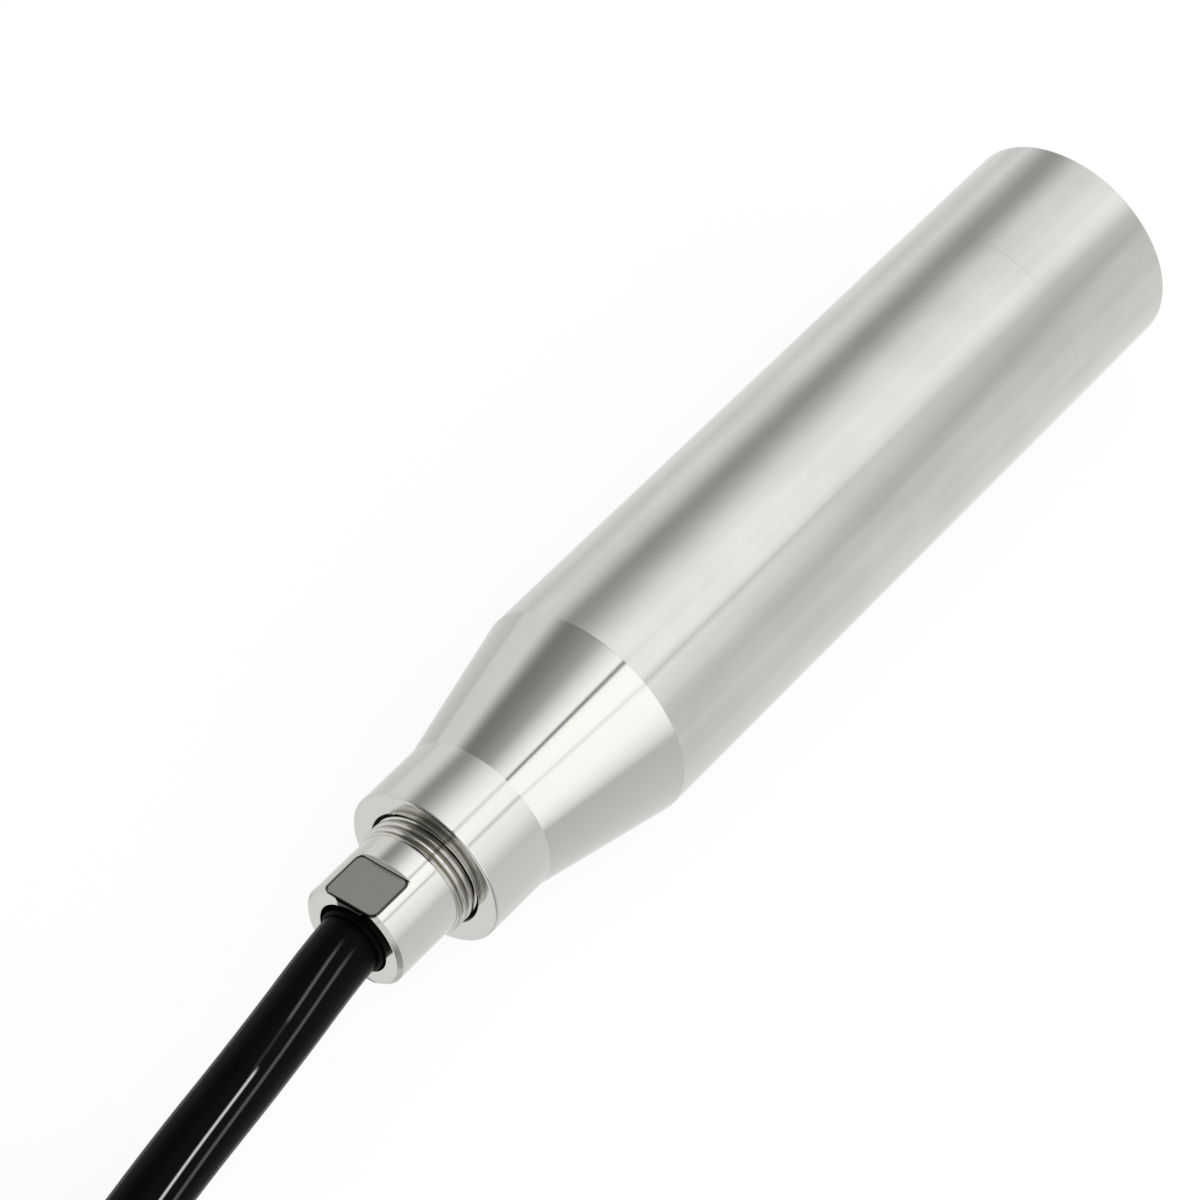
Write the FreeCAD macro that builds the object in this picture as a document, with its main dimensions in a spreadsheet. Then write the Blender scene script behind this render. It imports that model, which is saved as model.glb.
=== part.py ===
"""Submersible level transmitter: a turned steel probe with its pressure cell, board, cable gland and cable.

Sizes are millimetres.  The probe lies on its side along X with the nose at +X, the plane Z = 0 is the
surface under it, and the origin is below the middle of the probe.  Axial places are counted from the
neck face, where the gland screws in, towards the nose.
"""
import FreeCAD, Part
import math
import operator
import os

import Sketcher

SIZES = {
    # Outside of the turned body
    "probe_length": 133.95,
    "body_diameter": 28.0,
    "cone_length": 18.6,
    "neck_length": 9.25,
    "neck_diameter": 20.0,
    "edge_break": 0.25,
    # Nose cap and its ports
    "cap_length": 18.0,
    "cap_wall": 3.0,
    "cap_thread_diameter": 22.0,
    "cap_thread_length": 8.0,
    "cap_bore_diameter": 17.0,
    "seam_gap": 0.06,
    "port_diameter": 3.2,
    "port_circle": 12.5,
    "centre_port_diameter": 4.0,
    # Pressure cell and what seats it
    "cell_diameter": 19.0,
    "cell_length": 13.0,
    "cell_proud": 1.0,
    "cell_recess_diameter": 16.0,
    "cell_recess_depth": 0.6,
    "header_diameter": 12.0,
    "header_length": 2.5,
    "ring_groove_place": 5.0,
    "ring_groove_width": 2.2,
    "ring_section": 1.7,
    "diaphragm_thickness": 0.2,
    "ripple_height": 0.15,
    "ripple_pitch": 1.6,
    "weld_ring_bore": 14.4,
    "weld_ring_diameter": 17.0,
    "weld_ring_thickness": 0.5,
    "clamp_ring_bore": 17.4,
    "clamp_ring_diameter": 21.4,
    "clamp_ring_thickness": 1.0,
    "pin_diameter": 0.6,
    "pin_reach": 14.0,
    "pin_spacing": 2.6,
    "reference_tube_diameter": 1.6,
    "reference_tube_bore": 0.8,
    "reference_tube_length": 6.0,
    "reference_tube_height": 4.0,
    # Board, its sleeve and what is soldered on it
    "chamber_diameter": 17.5,
    "sleeve_wall": 1.0,
    "sleeve_start": 6.5,
    "sleeve_header_gap": 8.5,
    "board_inset": 2.0,
    "board_width": 15.8,
    "board_thickness": 1.6,
    "board_notch_depth": 3.0,
    "board_notch_width": 5.0,
    "driver_length": 10.0,
    "driver_width": 4.0,
    "amplifier_length": 5.0,
    "amplifier_width": 4.0,
    "package_height": 1.6,
    "part_gap": 0.4,
    "lead_reach": 1.0,
    "lead_width": 0.45,
    "lead_height": 0.5,
    "lead_pitch": 1.27,
    "diode_length": 4.6,
    "diode_width": 3.6,
    "diode_height": 2.2,
    "capacitor_length": 6.0,
    "capacitor_width": 3.2,
    "capacitor_height": 2.5,
    "resistor_length": 2.0,
    "resistor_width": 1.25,
    "resistor_height": 0.5,
    "resistor_pitch": 3.0,
    # Cable gland
    "gland_thread_diameter": 14.0,
    "gland_thread_out": 2.55,
    "gland_thread_in": 5.3,
    "gland_thread_depth": 7.5,
    "gland_grip_diameter": 13.25,
    "gland_grip_length": 9.55,
    "gland_flats": 11.3,
    "gland_flat_length": 6.2,
    "gland_bore": 9.4,
    "gland_bore_chamfer": 0.8,
    "gland_end_chamfer": 0.5,
    "gland_turn": -3.75,
    "mouth_diameter": 15.1,
    "mouth_depth": 0.9,
    "washer_thickness": 1.2,
    "washer_bore": 8.6,
    "washer_diameter": 12.4,
    "seal_pocket_diameter": 12.8,
    "seal_length": 6.7,
    "seal_chamfer": 0.8,
    "passage_diameter": 8.4,
    "passage_length": 3.5,
    # Cable, its cores and its vent tube
    "cable_diameter": 7.5,
    "cable_bend_place": 5.0,
    "cable_sag_place": 36.0,
    "cable_sag_height": 10.6,
    "cable_sag_side": 3.1,
    "cable_floor_place": 61.0,
    "cable_floor_height": 6.8,
    "cable_floor_side": 6.9,
    "core_diameter": 1.5,
    "conductor_diameter": 0.8,
    "conductor_length": 7.0,
    "core_spread": 1.4,
    "vent_diameter": 2.0,
    "vent_bore": 1.1,
    "vent_drop": 1.9,
    "vent_length": 5.0,
    # Put-away hank of the unseen cable, its ties and its stripped end
    "hank_run": 120.0,
    "hank_slot_pitch": 7.7,
    "hank_outer_turn": 32.0,
    "hank_layers": 8.0,
    "hank_start": 85.1,
    "hank_side": 21.7,
    "tie_thickness": 0.6,
    "tie_width": 5.0,
    "tie_place": 110.0,
    "tie_twist_diameter": 2.2,
    "tie_twist_length": 14.0,
    "tail_start": 121.0,
    "tail_length": 30.0,
    "tail_core_length": 26.0,
    # Fits
    "thread_clearance": 0.1,
    "slip_clearance": 0.05,
}

PORT_COUNT = 6
RIPPLE_COUNT = 4
DRIVER_LEAD_COUNT = 7
AMPLIFIER_LEAD_COUNT = 4
RESISTOR_COUNT = 5

# Share of the shorter run that an arc of a cable route takes
ARC_SHARE = 0.45

OPERATIONS = {"+": operator.add, "-": operator.sub, "*": operator.mul, "/": operator.truediv}

doc = FreeCAD.newDocument("level_transmitter")
exported = []


class Size:
    """A size that carries its number and the formula that ties it to the sheet."""

    def __init__(self, formula, number):
        self.formula = formula
        self.number = number

    def __add__(self, other):
        return combined(self, "+", other)

    def __radd__(self, other):
        return combined(other, "+", self)

    def __sub__(self, other):
        return combined(self, "-", other)

    def __rsub__(self, other):
        return combined(other, "-", self)

    def __mul__(self, other):
        return combined(self, "*", other)

    def __rmul__(self, other):
        return combined(other, "*", self)

    def __truediv__(self, other):
        return combined(self, "/", other)

    def __neg__(self):
        return combined(0.0, "-", self)


def as_size(value):
    """A plain number as a size."""
    return value if isinstance(value, Size) else Size(repr(float(value)), float(value))


def combined(left, sign, right):
    """The size that one arithmetic operation on two sizes gives."""
    left, right = as_size(left), as_size(right)
    number = OPERATIONS[sign](left.number, right.number)
    return Size(f"({left.formula} {sign} {right.formula})", number)


class Sheet:
    """The driving dimensions as a spreadsheet, read as attributes."""

    def __init__(self, sizes):
        cells = doc.addObject("Spreadsheet::Sheet", "Sizes")
        for row, (name, number) in enumerate(sizes.items(), start=1):
            cells.set(f"A{row}", name)
            cells.set(f"B{row}", str(number))
            cells.setAlias(f"B{row}", name)
            setattr(self, name, Size(f"Sizes.{name}", number))
        doc.recompute()


size = Sheet(SIZES)
ZERO = as_size(0)


def half(diameter):
    """The radius of a diameter."""
    return diameter / 2


def bind(thing, name, value):
    """Sets one property from a size and keeps it tied to the sheet."""
    thing.setExpression(name, as_size(value).formula)


def place(thing, x, y=ZERO, z=ZERO, axis=(0, 0, 1), turn=0.0):
    """Puts a piece at x, y, z, turned about a direction, with the place tied to the sheet."""
    x, y, z = as_size(x), as_size(y), as_size(z)
    base = FreeCAD.Vector(x.number, y.number, z.number)
    thing.Placement = FreeCAD.Placement(base, FreeCAD.Rotation(FreeCAD.Vector(*axis), as_size(turn).number))
    bind(thing, "Placement.Base.x", x)
    bind(thing, "Placement.Base.y", y)
    bind(thing, "Placement.Base.z", z)
    if isinstance(turn, Size):
        bind(thing, "Placement.Rotation.Angle", turn)


def node(thing, label):
    """Names a finished piece and lists it for its file."""
    thing.Label = label
    exported.append(thing)
    return thing


def new_body(label):
    """An empty body for one piece."""
    return node(doc.addObject("PartDesign::Body", label), label)


def sketch_on(body, role, name, offset=None):
    """An empty sketch on one of the body's own origin planes, at a distance along the plane's normal."""
    sketch = body.newObject("Sketcher::SketchObject", name)
    plane = next(feature for feature in body.Origin.OriginFeatures if feature.Role == role)
    sketch.AttachmentSupport = [(plane, "")]
    sketch.MapMode = "FlatFace"
    if offset is not None:
        sketch.setExpression("AttachmentOffset.Base.z", as_size(offset).formula)
    return sketch


def outline(sketch, corners):
    """Draws a closed outline of straight edges, each corner dimensioned from the sketch's origin."""
    corners = [(as_size(across), as_size(up)) for across, up in corners]
    points = [FreeCAD.Vector(across.number, up.number, 0) for across, up in corners]
    first = len(sketch.Geometry)
    for start, end in zip(points, points[1:] + points[:1]):
        sketch.addGeometry(Part.LineSegment(start, end), False)
    for i in range(len(points)):
        after = first + (i + 1) % len(points)
        sketch.addConstraint(Sketcher.Constraint("Coincident", first + i, 2, after, 1))
    for i, corner in enumerate(corners):
        for kind, value in zip(("DistanceX", "DistanceY"), corner):
            index = sketch.addConstraint(Sketcher.Constraint(kind, -1, 1, first + i, 1, value.number))
            sketch.setExpression(f"Constraints[{index}]", value.formula)


def circle(sketch, across, up, diameter):
    """Draws a circle with its centre and diameter dimensioned."""
    across, up, diameter = as_size(across), as_size(up), as_size(diameter)
    centre = FreeCAD.Vector(across.number, up.number, 0)
    index = sketch.addGeometry(Part.Circle(centre, FreeCAD.Vector(0, 0, 1), diameter.number / 2), False)
    for kind, value in (("DistanceX", across), ("DistanceY", up)):
        bound = sketch.addConstraint(Sketcher.Constraint(kind, -1, 1, index, 3, value.number))
        sketch.setExpression(f"Constraints[{bound}]", value.formula)
    bound = sketch.addConstraint(Sketcher.Constraint("Diameter", index, diameter.number))
    sketch.setExpression(f"Constraints[{bound}]", diameter.formula)


def rectangle(low, high):
    """The corners of a rectangle from its lowest to its highest corner."""
    return [low, (high[0], low[1]), high, (low[0], high[1])]


def turned(label, x, corners, turn=0.0):
    """A piece turned about the probe's axis from a profile of axial places and radii."""
    body = new_body(label)
    place(body, x, 0, axis_height, (1, 0, 0), turn)
    sketch = sketch_on(body, "XZ_Plane", label + "_profile")
    outline(sketch, corners)
    turning = body.newObject("PartDesign::Revolution", label + "_turning")
    turning.Profile = sketch
    turning.ReferenceAxis = (sketch, ["H_Axis"])
    turning.Angle = 360.0
    body.Tip = turning
    return body


def cut_along_x(body, sketch, length, name, towards_nose):
    """Cuts a sketch on a cross plane into the body along X."""
    pocket = body.newObject("PartDesign::Pocket", name)
    pocket.Profile = sketch
    pocket.Length = as_size(length).number
    bind(pocket, "Length", length)
    pocket.Reversed = towards_nose
    body.Tip = pocket
    return pocket


def raised(body, sketch, height, name):
    """Pads a sketch along its normal."""
    pad = body.newObject("PartDesign::Pad", name)
    pad.Profile = sketch
    pad.Length = as_size(height).number
    bind(pad, "Length", height)
    body.Tip = pad
    return pad


def rod(label, x, y, z, length, diameter):
    """A round rod along X from its end at x, y, z."""
    cylinder = doc.addObject("Part::Cylinder", label)
    bind(cylinder, "Radius", half(diameter))
    bind(cylinder, "Height", length)
    place(cylinder, x, y, z, (0, 1, 0), 90.0)
    return cylinder


def block(label, x, y, z, length, width, height):
    """A block from its lowest corner at x, y, z."""
    box = doc.addObject("Part::Box", label)
    bind(box, "Length", length)
    bind(box, "Width", width)
    bind(box, "Height", height)
    place(box, x, y, z)
    return box


def cut(label, base, tool):
    """One piece less another."""
    result = doc.addObject("Part::Cut", label)
    result.Base = base
    result.Tool = tool
    return result


def fused(label, pieces):
    """Several overlapping pieces as one."""
    result = doc.addObject("Part::MultiFuse", label)
    result.Shapes = pieces
    return result


def group(label, members):
    """Separate like solids that share one node."""
    result = doc.addObject("Part::Compound", label)
    result.Links = members
    return result


def route_wire(points):
    """Straight runs between points, joined by tangent arcs as large as their two runs allow."""
    points = [FreeCAD.Vector(*point) for point in points]
    edges = []
    radii = []
    begin = points[0]
    for before, corner, after in zip(points, points[1:], points[2:]):
        back = (before - corner).normalize()
        ahead = (after - corner).normalize()
        half_turn = (math.pi - back.getAngle(ahead)) / 2
        reach = ARC_SHARE * min((before - corner).Length, (after - corner).Length)
        radius = reach / math.tan(half_turn)
        enter = corner + back * reach
        leave = corner + ahead * reach
        to_centre = (back + ahead).normalize()
        middle = corner + to_centre * (radius / math.cos(half_turn) - radius)
        edges.append(Part.LineSegment(begin, enter).toShape())
        edges.append(Part.Arc(enter, middle, leave).toShape())
        radii.append(radius)
        begin = leave
    edges.append(Part.LineSegment(begin, points[-1]).toShape())
    return Part.Wire(edges), radii


def tube_along(points, diameter):
    """A round solid along a route, with its volume checked against its section times its length."""
    wire, radii = route_wire(points)
    start = FreeCAD.Vector(*points[0])
    heading = FreeCAD.Vector(*points[1]) - start
    section = Part.Wire(Part.Circle(start, heading, diameter / 2).toShape())
    solid = wire.makePipeShell([section], True, True)
    expected = math.pi * diameter ** 2 / 4 * wire.Length
    if abs(solid.Volume - expected) > 0.01 * expected:
        raise RuntimeError(f"tube volume {solid.Volume:.1f}, section times length {expected:.1f}")
    return solid, wire.Length, radii


def routed(label, points, diameter):
    """A cord's tube as a piece of its own."""
    solid, length, radii = tube_along(points, diameter.number)
    tube = doc.addObject("Part::Feature", label)
    tube.Shape = solid
    print(label, "length", round(length, 1), "radii", [round(radius, 1) for radius in radii])
    return node(tube, label)


# Places along the axis, counted from the neck face
axis_height = half(size.body_diameter)
body_radius = half(size.body_diameter)
gland_out = size.gland_thread_out + size.gland_grip_length
shoulder = size.neck_length + size.cone_length
nose = size.probe_length - gland_out
seam = nose - size.cap_length
neck_face = gland_out - half(size.probe_length)
gland_end = neck_face - gland_out
thrust_place = size.gland_thread_in + size.slip_clearance
seal_place = thrust_place + size.washer_thickness + size.slip_clearance
seat_place = seal_place + size.seal_length + size.slip_clearance
pocket_end = seat_place + size.washer_thickness
chamber_start = pocket_end + size.passage_length
cap_thread_end = seam - size.cap_thread_length
cell_front = cap_thread_end - size.slip_clearance - size.clamp_ring_thickness
cell_back = cell_front - size.cell_length
cap_bore_end = cell_front - size.cell_proud
header_back = cell_back - size.header_length
jacket_end = chamber_start - size.slip_clearance
sleeve_place = chamber_start + size.sleeve_start
sleeve_length = header_back - size.sleeve_header_gap - sleeve_place
board_place = sleeve_place + size.board_inset
board_length = sleeve_length - 2 * size.board_inset

# Radii that two pieces share
cap_bore = half(size.cap_thread_diameter) + size.thread_clearance
cell_bore = half(size.cell_diameter) + size.slip_clearance
gland_socket = half(size.gland_thread_diameter) + size.thread_clearance
sleeve_radius = half(size.chamber_diameter) - size.slip_clearance
sleeve_bore = sleeve_radius - size.sleeve_wall
board_top = axis_height + half(size.board_thickness)
cable_radius = half(size.cable_diameter)


def make_housing():
    """Barrel, cone and neck turned from one bar, bored from the nose and from the neck."""
    chamfer = size.edge_break
    neck_radius = half(size.neck_diameter)
    return turned("housing", neck_face, [
        (ZERO, half(size.mouth_diameter)),
        (ZERO, neck_radius - chamfer),
        (chamfer, neck_radius),
        (size.neck_length, neck_radius),
        (shoulder, body_radius),
        (seam, body_radius),
        (seam, cap_bore),
        (cap_bore_end, cap_bore),
        (cap_bore_end, cell_bore),
        (cell_back, cell_bore),
        (cell_back, half(size.chamber_diameter)),
        (chamber_start, half(size.chamber_diameter)),
        (chamber_start, half(size.passage_diameter)),
        (pocket_end, half(size.passage_diameter)),
        (pocket_end, half(size.seal_pocket_diameter)),
        (size.gland_thread_depth, half(size.seal_pocket_diameter)),
        (size.gland_thread_depth, gland_socket),
        (size.mouth_depth, gland_socket),
    ])


def make_nose_cap():
    """Flush cap with a threaded spigot, a bore in front of the cell and ports through its end wall."""
    face = size.cap_thread_length + size.cap_length
    wall = face - size.cap_wall
    collar = size.cap_thread_length + size.seam_gap
    chamfer = size.edge_break
    cap = turned("nose_cap", neck_face + cap_thread_end, [
        (ZERO, half(size.cap_bore_diameter)),
        (ZERO, half(size.cap_thread_diameter)),
        (collar, half(size.cap_thread_diameter)),
        (collar, body_radius),
        (face - chamfer, body_radius),
        (face, body_radius - chamfer),
        (face, ZERO),
        (wall, ZERO),
        (wall, half(size.cap_bore_diameter)),
    ])
    centre = sketch_on(cap, "YZ_Plane", "centre_port_outline", face)
    circle(centre, ZERO, ZERO, size.centre_port_diameter)
    cut_along_x(cap, centre, size.cap_wall, "centre_port", False)
    ring = sketch_on(cap, "YZ_Plane", "port_outline", face)
    circle(ring, ZERO, half(size.port_circle), size.port_diameter)
    port = cut_along_x(cap, ring, size.cap_wall, "port", False)
    pattern = cap.newObject("PartDesign::PolarPattern", "ports")
    pattern.Originals = [port]
    pattern.Axis = (ring, ["N_Axis"])
    pattern.Angle = 360.0
    pattern.Occurrences = PORT_COUNT
    cap.Tip = pattern
    return cap


def make_cell():
    """Oil-filled pressure cell: a grooved steel button with a header boss behind it and a recess in front."""
    front = size.header_length + size.cell_length
    radius = half(size.cell_diameter)
    floor = front - size.cell_recess_depth
    groove_start = size.header_length + size.ring_groove_place
    groove_end = groove_start + size.ring_groove_width
    groove_radius = cell_bore - size.slip_clearance - size.ring_section - size.slip_clearance
    turned("sensor_cell", neck_face + header_back, [
        (ZERO, ZERO),
        (ZERO, half(size.header_diameter)),
        (size.header_length, half(size.header_diameter)),
        (size.header_length, radius),
        (groove_start, radius),
        (groove_start, groove_radius),
        (groove_end, groove_radius),
        (groove_end, radius),
        (front, radius),
        (front, half(size.cell_recess_diameter)),
        (floor, half(size.cell_recess_diameter)),
        (floor, ZERO),
    ])
    ring = doc.addObject("Part::Torus", "cell_o_ring")
    bind(ring, "Radius1", groove_radius + size.slip_clearance + half(size.ring_section))
    bind(ring, "Radius2", half(size.ring_section))
    middle = neck_face + cell_back + size.ring_groove_place + half(size.ring_groove_width)
    place(ring, middle, 0, axis_height, (0, 1, 0), 90.0)
    node(ring, "cell_o_ring")


def make_diaphragm():
    """Thin disc with concentric ripples, held in the cell's recess by a weld ring."""
    back = size.cell_recess_depth - size.diaphragm_thickness - size.ripple_height - size.slip_clearance
    radius = half(size.cell_recess_diameter) - size.slip_clearance
    front = size.diaphragm_thickness
    crest = front + size.ripple_height
    quarter = size.ripple_pitch / 4
    corners = [(ZERO, ZERO), (ZERO, radius), (front, radius)]
    for number in range(RIPPLE_COUNT, 0, -1):
        outer = number * size.ripple_pitch
        corners += [
            (front, outer),
            (crest, outer - quarter),
            (crest, outer - 2 * quarter),
            (front, outer - 3 * quarter),
        ]
    corners.append((front, ZERO))
    turned("diaphragm", neck_face + cell_front - size.cell_recess_depth + back, corners)
    turned("weld_ring", neck_face + cell_front, rectangle(
        (ZERO, half(size.weld_ring_bore)), (size.weld_ring_thickness, half(size.weld_ring_diameter))))
    turned("clamp_ring", neck_face + cell_front, rectangle(
        (ZERO, half(size.clamp_ring_bore)), (size.clamp_ring_thickness, half(size.clamp_ring_diameter))))


def make_header():
    """Five pins that reach from the header over and under the board's edge, and the reference tube."""
    start = neck_face + header_back - size.pin_reach
    offset = half(size.board_thickness) + half(size.pin_diameter) + size.slip_clearance
    rows = [(across * size.pin_spacing, axis_height + offset) for across in (-1, 0, 1)]
    rows += [(across * size.pin_spacing, axis_height - offset) for across in (-0.5, 0.5)]
    pins = [
        rod(f"header_pin_{number}", start, across, height, size.pin_reach, size.pin_diameter)
        for number, (across, height) in enumerate(rows, start=1)
    ]
    node(group("header_pins", pins), "header_pins")
    place_x = neck_face + header_back - size.reference_tube_length
    height = axis_height + size.reference_tube_height
    outside = rod("reference_tube_outside", place_x, ZERO, height,
                  size.reference_tube_length, size.reference_tube_diameter)
    inside = rod("reference_tube_inside", place_x, ZERO, height,
                 size.reference_tube_length, size.reference_tube_bore)
    node(cut("reference_tube", outside, inside), "reference_tube")


def make_board():
    """Insulating sleeve with two card guides, and the board that slides into them."""
    sleeve = turned("board_sleeve", neck_face + sleeve_place, rectangle(
        (ZERO, sleeve_bore), (sleeve_length, sleeve_radius)))
    guide = sketch_on(sleeve, "YZ_Plane", "card_guide_outline")
    reach = half(size.board_width) + size.slip_clearance
    lift = half(size.board_thickness) + size.slip_clearance
    outline(guide, rectangle((-reach, -lift), (reach, lift)))
    cut_along_x(sleeve, guide, sleeve_length, "card_guides", True)

    board = new_body("circuit_board")
    place(board, neck_face + board_place, 0, axis_height - half(size.board_thickness))
    plan = sketch_on(board, "XY_Plane", "board_outline")
    edge = half(size.board_width)
    notch = half(size.board_notch_width)
    outline(plan, [
        (ZERO, -edge),
        (board_length, -edge),
        (board_length, edge),
        (ZERO, edge),
        (ZERO, notch),
        (size.board_notch_depth, notch),
        (size.board_notch_depth, -notch),
        (ZERO, -notch),
    ])
    raised(board, plan, size.board_thickness, "board_thickness_pad")


def make_chip(label, along, length, width, leads):
    """A moulded package with a row of leads on each long side, soldered on the board."""
    chip = new_body(label)
    place(chip, neck_face + board_place + along, 0, board_top)
    package = sketch_on(chip, "XY_Plane", label + "_outline")
    outline(package, rectangle((ZERO, -half(width)), (length, half(width))))
    raised(chip, package, size.package_height, label + "_package")
    first = (length - (leads - 1) * size.lead_pitch - size.lead_width) / 2
    strip = sketch_on(chip, "XY_Plane", label + "_lead_outline")
    reach = half(width) + size.lead_reach
    outline(strip, rectangle((first, -reach), (first + size.lead_width, reach)))
    lead = raised(chip, strip, size.lead_height, label + "_lead")
    row = chip.newObject("PartDesign::LinearPattern", label + "_leads")
    row.Originals = [lead]
    row.Direction = (strip, ["H_Axis"])
    row.Length = ((leads - 1) * size.lead_pitch).number
    bind(row, "Length", (leads - 1) * size.lead_pitch)
    row.Occurrences = leads
    chip.Tip = row


def make_board_parts():
    """Surge diode, amplifier and loop driver in even steps from cores to pins, and the parts beside them."""
    cores_end = size.board_notch_depth + size.core_spread
    pins_start = header_back - size.pin_reach - board_place
    gap = (pins_start - cores_end - size.diode_length - size.amplifier_length - size.driver_length) / 4
    diode_at = cores_end + gap
    amplifier_at = diode_at + size.diode_length + gap
    driver_at = amplifier_at + size.amplifier_length + gap
    make_chip("loop_driver", driver_at, size.driver_length, size.driver_width, DRIVER_LEAD_COUNT)
    make_chip("amplifier", amplifier_at, size.amplifier_length, size.amplifier_width, AMPLIFIER_LEAD_COUNT)
    tail = neck_face + board_place
    diode = block("surge_diode", tail + diode_at, -half(size.diode_width), board_top,
                  size.diode_length, size.diode_width, size.diode_height)
    node(diode, "surge_diode")
    beside = half(size.amplifier_width) + size.lead_reach + size.part_gap
    capacitor_at = tail + diode_at
    low_side = -beside - size.capacitor_width
    pair = [
        block(f"capacitor_{number}", capacitor_at, side, board_top,
              size.capacitor_length, size.capacitor_width, size.capacitor_height)
        for number, side in ((1, beside), (2, low_side))
    ]
    node(group("capacitors", pair), "capacitors")
    under = board_top - size.board_thickness - size.resistor_height
    first = tail + diode_at
    resistors = [
        block(f"resistor_{number}", first + number * size.resistor_pitch, -half(size.resistor_length), under,
              size.resistor_width, size.resistor_length, size.resistor_height)
        for number in range(RESISTOR_COUNT)
    ]
    node(group("resistors", resistors), "resistors")


def make_gland():
    """Hollow gland screw with two wrench flats, its thrust washer, the rubber seal and the seat washer."""
    grip_radius = half(size.gland_grip_diameter)
    thread_radius = half(size.gland_thread_diameter)
    chamfer = size.gland_end_chamfer
    bore = half(size.gland_bore)
    inner_end = gland_out + size.gland_thread_in
    screw = turned("gland_screw", gland_end, [
        (ZERO, bore + size.gland_bore_chamfer),
        (ZERO, grip_radius - chamfer),
        (chamfer, grip_radius),
        (size.gland_grip_length, grip_radius),
        (size.gland_grip_length, thread_radius - chamfer),
        (size.gland_grip_length + chamfer, thread_radius),
        (inner_end - chamfer, thread_radius),
        (inner_end, thread_radius - chamfer),
        (inner_end, bore),
        (size.gland_bore_chamfer, bore),
    ], size.gland_turn)
    flats = sketch_on(screw, "YZ_Plane", "flats_outline")
    across = grip_radius + chamfer
    for side in (1, -1):
        low = side * half(size.gland_flats)
        outline(flats, rectangle((-across, low), (across, side * across)))
    cut_along_x(screw, flats, size.gland_flat_length, "flats", True)

    washer = [half(size.washer_bore), half(size.washer_diameter)]
    for label, at in (("thrust_washer", thrust_place), ("seat_washer", seat_place)):
        turned(label, neck_face + at, rectangle((ZERO, washer[0]), (size.washer_thickness, washer[1])))
    taper = size.seal_chamfer
    seal_radius = half(size.seal_pocket_diameter) - size.slip_clearance
    turned("cable_seal", neck_face + seal_place, [
        (ZERO, cable_radius + size.slip_clearance),
        (ZERO, seal_radius - taper),
        (taper, seal_radius),
        (size.seal_length - taper, seal_radius),
        (size.seal_length, seal_radius - taper),
        (size.seal_length, cable_radius + size.slip_clearance),
    ])


def make_inner_cores():
    """The two cores from the jacket's end to the board, and the vent tube that opens in the chamber."""
    start = (neck_face + jacket_end + size.slip_clearance).number
    lift = board_top.number + half(size.core_diameter).number + size.slip_clearance.number
    pad = (neck_face + board_place + size.board_notch_depth).number
    spread = size.core_spread.number
    notch = half(size.board_notch_width).number + half(size.core_diameter).number
    middle = (start + pad) / 2
    for label, side in (("red_core", 1), ("black_core", -1)):
        routed(label, [
            (start, side * spread, axis_height.number),
            (middle - spread, side * spread, axis_height.number),
            (middle + spread, side * notch, lift),
            (pad + spread, side * notch, lift),
        ], size.core_diameter)
    place_x = neck_face + jacket_end + size.slip_clearance
    height = axis_height - size.vent_drop
    outside = rod("vent_outside", place_x, ZERO, height, size.vent_length, size.vent_diameter)
    inside = rod("vent_inside", place_x, ZERO, height, size.vent_length, size.vent_bore)
    node(cut("vent_tube", outside, inside), "vent_tube")


def make_cable():
    """The stretch of cable from the chamber through the gland and down to the start of its hank."""
    axis = axis_height.number
    floor = size.tie_thickness.number + cable_radius.number
    lead = size.hank_start.number
    side = (size.hank_side - size.hank_outer_turn).number
    inside = (jacket_end + gland_out).number
    mouth = gland_end.number
    points = [
        (-inside, 0.0, axis),
        (size.cable_bend_place.number, 0.0, axis),
        (size.cable_sag_place.number, -size.cable_sag_side.number, size.cable_sag_height.number),
        (size.cable_floor_place.number, -size.cable_floor_side.number, size.cable_floor_height.number),
        (lead, side, floor),
    ]
    routed("cable", [(mouth - out, y, z) for out, y, z in points], size.cable_diameter)


def stadium(label, x, radius, height, z):
    """A slab with straight sides and round ends, from its two end centres."""
    far = x - size.hank_run
    ends = []
    for number, centre in enumerate((x, far), start=1):
        end = doc.addObject("Part::Cylinder", f"{label}_end_{number}")
        bind(end, "Radius", radius)
        bind(end, "Height", height)
        place(end, centre, size.hank_side, z)
        ends.append(end)
    middle = block(label + "_middle", far, size.hank_side - radius, z, size.hank_run, 2 * radius, height)
    return fused(label, ends + [middle])


def make_hank():
    """The outer shape of the folded, tied cable: a ring with straight sides, two turns wide."""
    near = gland_end - size.hank_start
    bottom = size.tie_thickness
    height = size.hank_layers * size.cable_diameter
    outer = size.hank_outer_turn + cable_radius
    inner = size.hank_outer_turn - size.hank_slot_pitch - cable_radius
    hank = cut("cable_hank", stadium("hank_outside", near, outer, height, bottom),
               stadium("hank_inside", near, inner, height, bottom))
    node(hank, "cable_hank")

    ties = []
    thick = size.tie_thickness
    wide = outer - inner
    place_x = near - size.tie_place
    for number, low in ((1, size.hank_side - outer), (2, size.hank_side + inner)):
        band = block(f"tie_{number}_outside", place_x, low - thick, ZERO,
                     size.tie_width, wide + 2 * thick, height + 2 * thick)
        hollow = block(f"tie_{number}_inside", place_x, low, thick, size.tie_width, wide, height)
        strip = cut(f"tie_{number}_strip", band, hollow)
        twist = rod(f"tie_{number}_twist", place_x, low + half(wide),
                    height + 2 * thick + half(size.tie_twist_diameter) - size.slip_clearance,
                    size.tie_twist_length, size.tie_twist_diameter)
        ties.append(fused(f"tie_{number}", [strip, twist]))
    node(group("hank_ties", ties), "hank_ties")


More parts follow.
